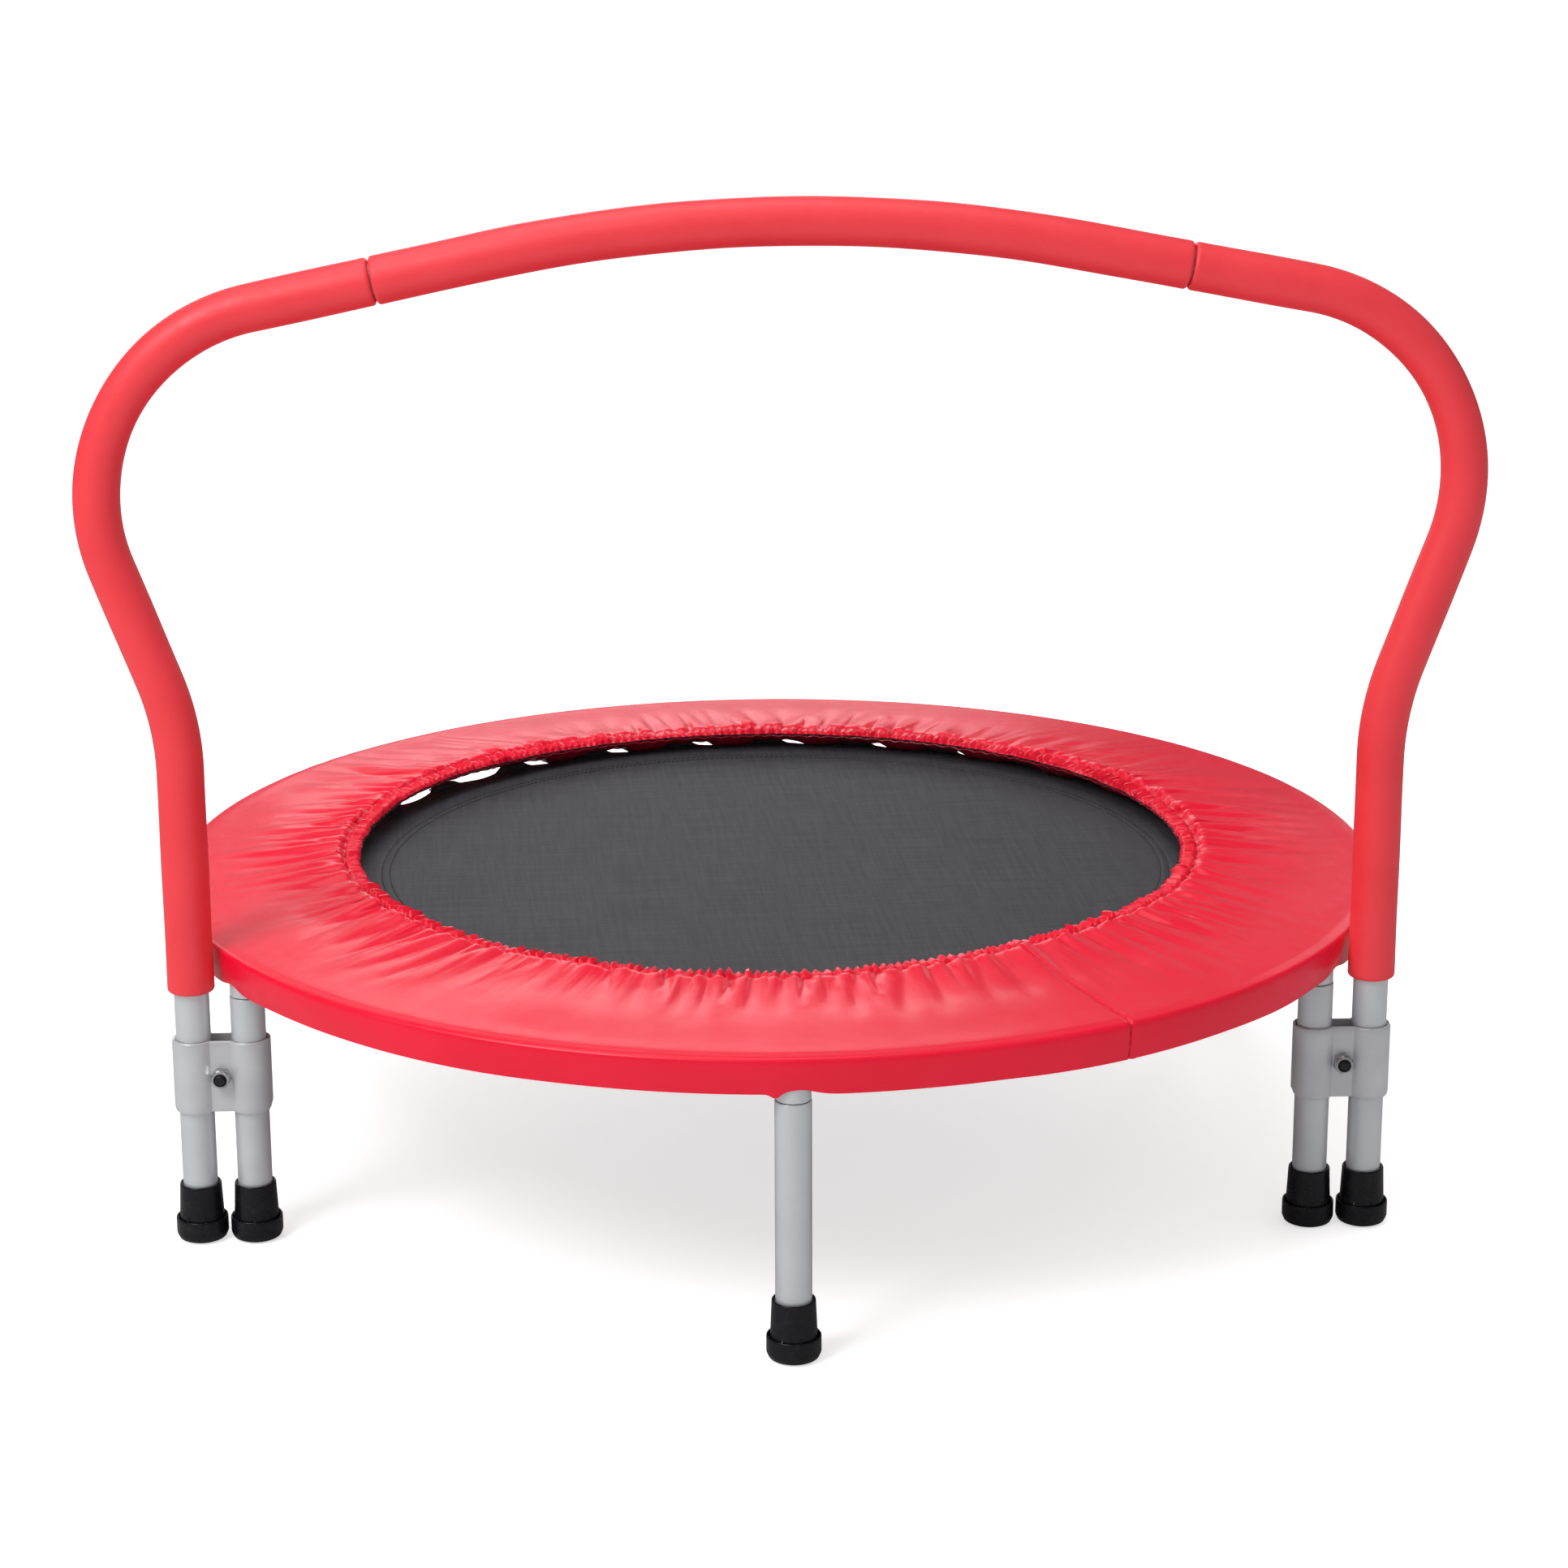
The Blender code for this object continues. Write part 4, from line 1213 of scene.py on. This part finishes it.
def build_lining(looks):
    """The cover's under layer: gathered at the hem, sagging between the V rings and meeting the ring; it
    hangs open at the back left."""
    columns = 672
    angle = circle_angles(columns)
    line = spline(LINING_LINE, 34)
    share = np.linspace(0, 1, len(line))[:, None]
    folds = ridges(angle, GATHERS // 2, 1.2, 71)[None, :]
    between = np.maximum(0, -np.cos((angle - pi / 2 + SAG_SHIFT) * SPRING_COUNT))
    open_side = smooth(radians(124), radians(131), angle) * smooth(radians(176), radians(168), angle)
    deep = 8.8 + 1.2 * ring_noise(angle, 34, 72) - 8 * open_side
    shallow = 3.6 * (1 - open_side)
    depth = (shallow + (deep - shallow) * np.sqrt(between)) * MM
    sag = depth[None, :] * bell(share - 0.20, 0.12)
    z = line[:, 1][:, None] - sag + 1.3 * MM * (folds - 0.5) * smooth(0.7, 0.0, share)
    z = np.maximum(z, MAT_HIGH.z + 1.2 * MM - 8 * MM * smooth(0.336, 0.343, line[:, 0])[:, None])
    inward, up = hem_shift(angle)
    near = smooth(0.5, 0.0, share)
    z = z + up[None, :] * near
    radius = line[:, 0][:, None] - inward[None, :] * near
    grid = polar(radius, angle, z)
    shape = closed_sheet(grid, grid_normals(grid), LINING_THICKNESS)
    # Its material is the cover fabric darkened as painted shade.
    piece("cover_lining", shape, looks["lining"], "frame")


# Handle


def split_point(beyond):
    """Where the handle's sections meet, moved along the tube towards the shoulder."""
    direction = (Vector(HANDLE_SHOULDER) - Vector(HANDLE_PEAK)).normalized()
    return tuple(Vector(HANDLE_PEAK) + direction * (SPLIT_X / direction.x + beyond))


def upright_line(bottom, gap):
    bend = fillet((HANDLE_X, 0), HANDLE_BEND, HANDLE_SHOULDER, BEND_RADIUS, 16)
    shoulder = fillet(HANDLE_BEND, HANDLE_SHOULDER, HANDLE_PEAK, SHOULDER_RADIUS, 48)
    return [(HANDLE_X, bottom)] + bend + shoulder + [split_point(gap)]


def crown_line(beyond):
    left = (-HANDLE_SHOULDER[0], HANDLE_SHOULDER[1])
    crown = fillet(left, HANDLE_PEAK, HANDLE_SHOULDER, CROWN_RADIUS, 32)
    x, z = split_point(beyond)
    return [(-x, z)] + crown + [(x, z)]


def in_handle_plane(line, samples, side=1):
    """The line in the handle's plane, with the slight lean that the loose joints of the handle give it."""
    line = respaced(np.array(line, float), samples)
    x, z = side * line[:, 0], line[:, 1]
    upper = smooth(0.33, 0.58, z)
    return np.stack([x + 1 * MM * upper, np.full(samples, HANDLE_Y), z + HANDLE_LEAN * x * upper], 1)


def with_round_ends(line, radius, bore, corner):
    """A sleeve's line with extra points at its ends, and radii that round its rims."""
    ends = corner * (1 - np.cos(np.linspace(0, pi / 2, 7)))[1:]
    first = (line[1] - line[0]) / np.linalg.norm(line[1] - line[0])
    last = (line[-2] - line[-1]) / np.linalg.norm(line[-2] - line[-1])
    head = [line[0] + first * d for d in np.concatenate([[0], ends])]
    tail = [line[-1] + last * d for d in np.concatenate([[0], ends])][::-1]
    clear = np.minimum(np.linalg.norm(line - line[0], axis=1), np.linalg.norm(line - line[-1], axis=1))
    inner = list(line[clear > corner * 1.2])
    rounding = corner - np.sqrt(np.maximum(corner**2 - (corner - np.concatenate([[0], ends])) ** 2, 0))
    radii = np.concatenate([radius - rounding, np.full(len(inner), radius), (radius - rounding)[::-1]])
    return np.array(head + inner + tail), radii, np.full(len(radii), bore)


def build_sleeve(name, line, looks, node):
    points, radii, bore = with_round_ends(line, FOAM_RADIUS, FOAM_BORE, 2.6 * MM)
    length = distances(points)[-1]
    swell = 1 + 0.006 * np.sin(np.linspace(0, length / 0.09 * 2 * pi, len(radii)))
    stretched = bell(points[:, 2] - HANDLE_SHOULDER[1] + 0.04, 0.07)
    swell = swell - 0.045 * stretched * smooth(0.3, 0.45, np.abs(points[:, 0]))
    piece(name, pipe(points, radii * swell, bore, 56), looks["foam"], "handle", node)


def build_handle(looks):
    for side, name in ((-1, "left"), (1, "right")):
        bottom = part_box("handle_upright_" + name)[0].z
        line = in_handle_plane(upright_line(bottom, 0.8 * MM), 150, side)
        shape = pipe(line, TUBE_RADIUS, TUBE_BORE, 48)
        piece("upright_tube_" + name, shape, looks["powder"], "handle", "handle_upright_" + name)
        foam = in_handle_plane(upright_line(FOAM_BOTTOM, 0.5 * MM), 130, side)
        build_sleeve("foam_sleeve_" + name, foam, looks, "grip_foam_" + name)
    bar = in_handle_plane(crown_line(SPIGOT_LENGTH), 90)
    out = np.where(np.abs(bar[:, 0]) > SPLIT_X, SPIGOT_RADIUS, TUBE_RADIUS)
    piece("crossbar_tube", pipe(bar, out, SPIGOT_BORE, 40), looks["powder"], "handle", "handle_crossbar")
    foam = in_handle_plane(crown_line(-0.5 * MM), 110)
    build_sleeve("foam_sleeve_middle", foam, looks, "grip_foam_middle")


# Clamps


def plate_line(radius, web_y, gap):
    """One face of a clamp plate seen from above, from its right end round both saddles to its left end."""
    start, stop = -gap / radius, -(pi - np.arcsin(web_y / radius))
    turn = np.linspace(start, stop, 26)
    saddle = np.stack([PAIR_HALF_SPAN + radius * np.cos(turn), radius * np.sin(turn)], 1)
    web = np.stack([np.linspace(saddle[-1, 0], 0, 6)[1:], np.full(5, -web_y)], 1)
    half = np.vstack([saddle, web])
    other = half[:-1][::-1] * (-1, 1)
    return np.vstack([half, other])


def plate_shape():
    """A pressed half clamp: saddles round both tubes, a flat web and rounded outer corners."""
    web_y = sqrt(CLAMP_OUTER**2 - (PAIR_HALF_SPAN - CLAMP_WEB_HALF_WIDTH) ** 2)
    outer = plate_line(CLAMP_OUTER, web_y, 0.6 * MM)
    inner = plate_line(CLAMP_INNER, web_y - (CLAMP_OUTER - CLAMP_INNER), 0.6 * MM)
    along = distances(outer)
    from_end = np.minimum(along, along[-1] - along)
    half = CLAMP_HEIGHT / 2
    top = half - corner_drop(from_end, 4 * MM)
    bottom = -half + corner_drop(from_end, 11 * MM)
    thick = outer - inner
    round_edge = [(0.0, 0.9), (0.12, 0.35), (0.35, 0.08), (0.65, 0.0)]
    rows = []
    for share, drop in round_edge:
        rows.append((outer - thick * share, bottom + drop * MM * 0.8))
    rows = rows[::-1]
    for level in np.linspace(0.1, 0.9, 5):
        rows.append((outer, bottom + 1.2 * MM + (top - bottom - 2.4 * MM) * level))
    for share, drop in round_edge:
        rows.append((outer - thick * share, top - drop * MM * 0.8))
    rows.append((inner, top - 0.3 * MM))
    rows.append((inner, bottom + 0.3 * MM))
    points = np.concatenate([np.column_stack([xy, z])[None] for xy, z in rows], 0)
    count, columns = points.shape[:2]
    faces = grid_faces(count, columns, False, True)
    faces.append([j * columns for j in range(count)])
    faces.append([j * columns + columns - 1 for j in range(count)][::-1])
    return (points.reshape(-1, 3), faces), web_y


def corner_drop(distance, radius):
    inside = np.clip(radius - distance, 0, radius)
    return radius - np.sqrt(radius**2 - inside**2)


def hex_shape(levels, bore=None, sides=60):
    """A hexagon on the Z axis cut back by a cone at each level: (cone radius, z), with an optional bore."""
    turn = circle_angles(sides)
    hexagon = NUT_FLAT / np.cos(np.mod(turn + pi / 6, pi / 3) - pi / 6)
    rows = []
    for cone, z in levels:
        radius = np.minimum(hexagon, cone)
        rows.append(polar(radius, turn, z))
    count = len(rows)
    if bore:
        for z in (levels[-1][1], levels[0][1]):
            rows.append(polar(bore, turn, z))
        return np.vstack(rows), grid_faces(count + 2, sides, True, True)
    return np.vstack(rows), capped_faces(count, sides)


def nut_shape():
    """A hexagon lock nut with a round collar that holds its insert."""
    wide = NUT_FLAT * 1.16
    levels = [(wide * 0.93, 0), (wide, 0.5 * MM), (wide, 4.8 * MM), (wide * 0.94, 5.5 * MM)]
    levels += in_mm([(6.35, 5.8), (6.15, 6.2), (6.15, 7.4), (5.75, 8.0), (4.9, 8.1), (4.7, 7.6)])
    return hex_shape(levels, 4.15 * MM)


def bolt_shape(seat, end):
    """A hexagon bolt with a chamfered head and fine threads, its head below the seat."""
    wide = NUT_FLAT * 1.16
    head = hex_shape([(NUT_FLAT * 0.93, seat - 5.3 * MM), (wide, seat - 4.7 * MM), (wide, seat)])
    profile = [(0, seat - 1 * MM), (BOLT_RADIUS, seat - 1 * MM)]
    z = end - THREAD_LENGTH
    while z < end - 1.2 * MM:
        profile += [(BOLT_RADIUS, z), (BOLT_RADIUS - 0.45 * MM, z + THREAD_PITCH / 2)]
        z += THREAD_PITCH
    profile += [(BOLT_RADIUS - 0.2 * MM, end - 0.9 * MM), (BOLT_RADIUS - 0.9 * MM, end - 0.1 * MM)]
    profile.append((0, end + 0.3 * MM))
    return merged([head, lathe(profile, 36)])


def build_clamps(looks):
    plate, web_y = plate_shape()
    seat = web_y + 0.2 * MM
    forward = Matrix.Rotation(pi / 2, 4, "X")
    insert_outline = in_mm([(4.15, 6.0), (4.75, 6.0), (4.75, 7.75), (4.15, 7.9)])
    for side, x in (("left", -CLAMP_X), ("right", CLAMP_X)):
        place = Matrix.Translation((x, HANDLE_Y, CLAMP_Z))
        jaw = "clamp_jaw_" + side
        piece("plate_front_" + side, moved(plate, place), looks["clamp"], jaw, "clamp_front_" + side)
        turned = place @ Matrix.Rotation(pi, 4, "Z")
        piece("plate_back_" + side, moved(plate, turned), looks["clamp"], "frame", "clamp_back_" + side)
        spin = Matrix.Rotation(radians(20 if side == "left" else 48), 4, "Z")
        nut_place = place @ Matrix.Translation((0, -seat, 0)) @ forward @ spin
        nut = "clamp_nut_" + side
        piece("lock_nut_" + side, moved(nut_shape(), nut_place), looks["zinc"], nut, nut)
        insert = lathe(insert_outline, 40, True)
        piece("nut_insert_" + side, moved(insert, nut_place), looks["black"], nut)
        bolt = bolt_shape(-seat, seat + 9.3 * MM)
        piece("bolt_" + side, moved(bolt, place @ forward), looks["black"], "frame", "clamp_bolt_" + side)


# Stage


def area_light(name, place, size, power):
    """A softbox of a width and height, turned to the object, that the camera doesn't see."""
    data = bpy.data.lights.new(name, "AREA")
    data.shape = "RECTANGLE"
    data.size, data.size_y = size
    data.energy = power
    obj = bpy.data.objects.new(name, data)
    obj.location = place
    obj.rotation_mode = "QUATERNION"
    obj.rotation_quaternion = (Vector(LIGHT_TARGET) - Vector(place)).to_track_quat("-Z", "Y")
    obj.visible_camera = False
    bpy.context.scene.collection.objects.link(obj)


def studio_world():
    """Even white light all round, but dim in reflections, so that only the softboxes shine on gloss."""
    world = bpy.data.worlds.new("studio")
    bpy.context.scene.world = world
    world.use_nodes = True
    nodes, links = world.node_tree.nodes, world.node_tree.links
    path = nodes.new("ShaderNodeLightPath")
    strength = WORLD_LIGHT
    for ray, value in (("Is Glossy Ray", WORLD_GLOSS), ("Is Camera Ray", 1.0)):
        mix = nodes.new("ShaderNodeMix")
        links.new(path.outputs[ray], mix.inputs[0])
        if isinstance(strength, float):
            mix.inputs[2].default_value = strength
        else:
            links.new(strength, mix.inputs[2])
        mix.inputs[3].default_value = value
        strength = mix.outputs[0]
    links.new(strength, nodes["Background"].inputs["Strength"])
    nodes["Background"].inputs["Color"].default_value = (1, 1, 1, 1)


def build_stage():
    points = [(x * FLOOR_SIZE, y * FLOOR_SIZE, 0) for x, y in ((-1, -1), (1, -1), (1, 1), (-1, 1))]
    floor = mesh_object("floor", points, [(0, 1, 2, 3)], floor_surface())
    floor.location.z = -0.3 * MM
    studio_world()
    for name, (place, size, power) in LIGHTS.items():
        area_light(name, place, size, power)


def build_camera():
    """A long lens a little left of centre, looking slightly down, as in a catalogue picture."""
    azimuth, elevation, roll = CAMERA_AZIMUTH, CAMERA_ELEVATION, CAMERA_ROLL
    back = Vector((sin(azimuth) * cos(elevation), -cos(azimuth) * cos(elevation), sin(elevation)))
    right = Vector((cos(azimuth), sin(azimuth), 0))
    up = back.cross(right)
    place = Vector((0, 0, CAMERA_TARGET)) + right * CAMERA_SHIFT + back * CAMERA_DISTANCE
    turned_right = right * cos(roll) + up * sin(roll)
    turned_up = up * cos(roll) - right * sin(roll)
    data = bpy.data.cameras.new("camera")
    data.lens = CAMERA_LENS
    data.sensor_width = 36.0
    camera = bpy.data.objects.new("camera", data)
    camera.matrix_world = Matrix((turned_right, turned_up, back)).transposed().to_4x4()
    camera.matrix_world.translation = place
    bpy.context.scene.collection.objects.link(camera)
    bpy.context.scene.camera = camera


def main():
    looks = make_looks()
    build_ring(looks)
    build_legs(looks)
    build_springs(looks)
    build_mat(looks)
    build_cover(looks)
    build_handle(looks)
    build_clamps(looks)
    build_stage()
    build_camera()
    bpy.context.scene.view_settings.view_transform = "Standard"


main()
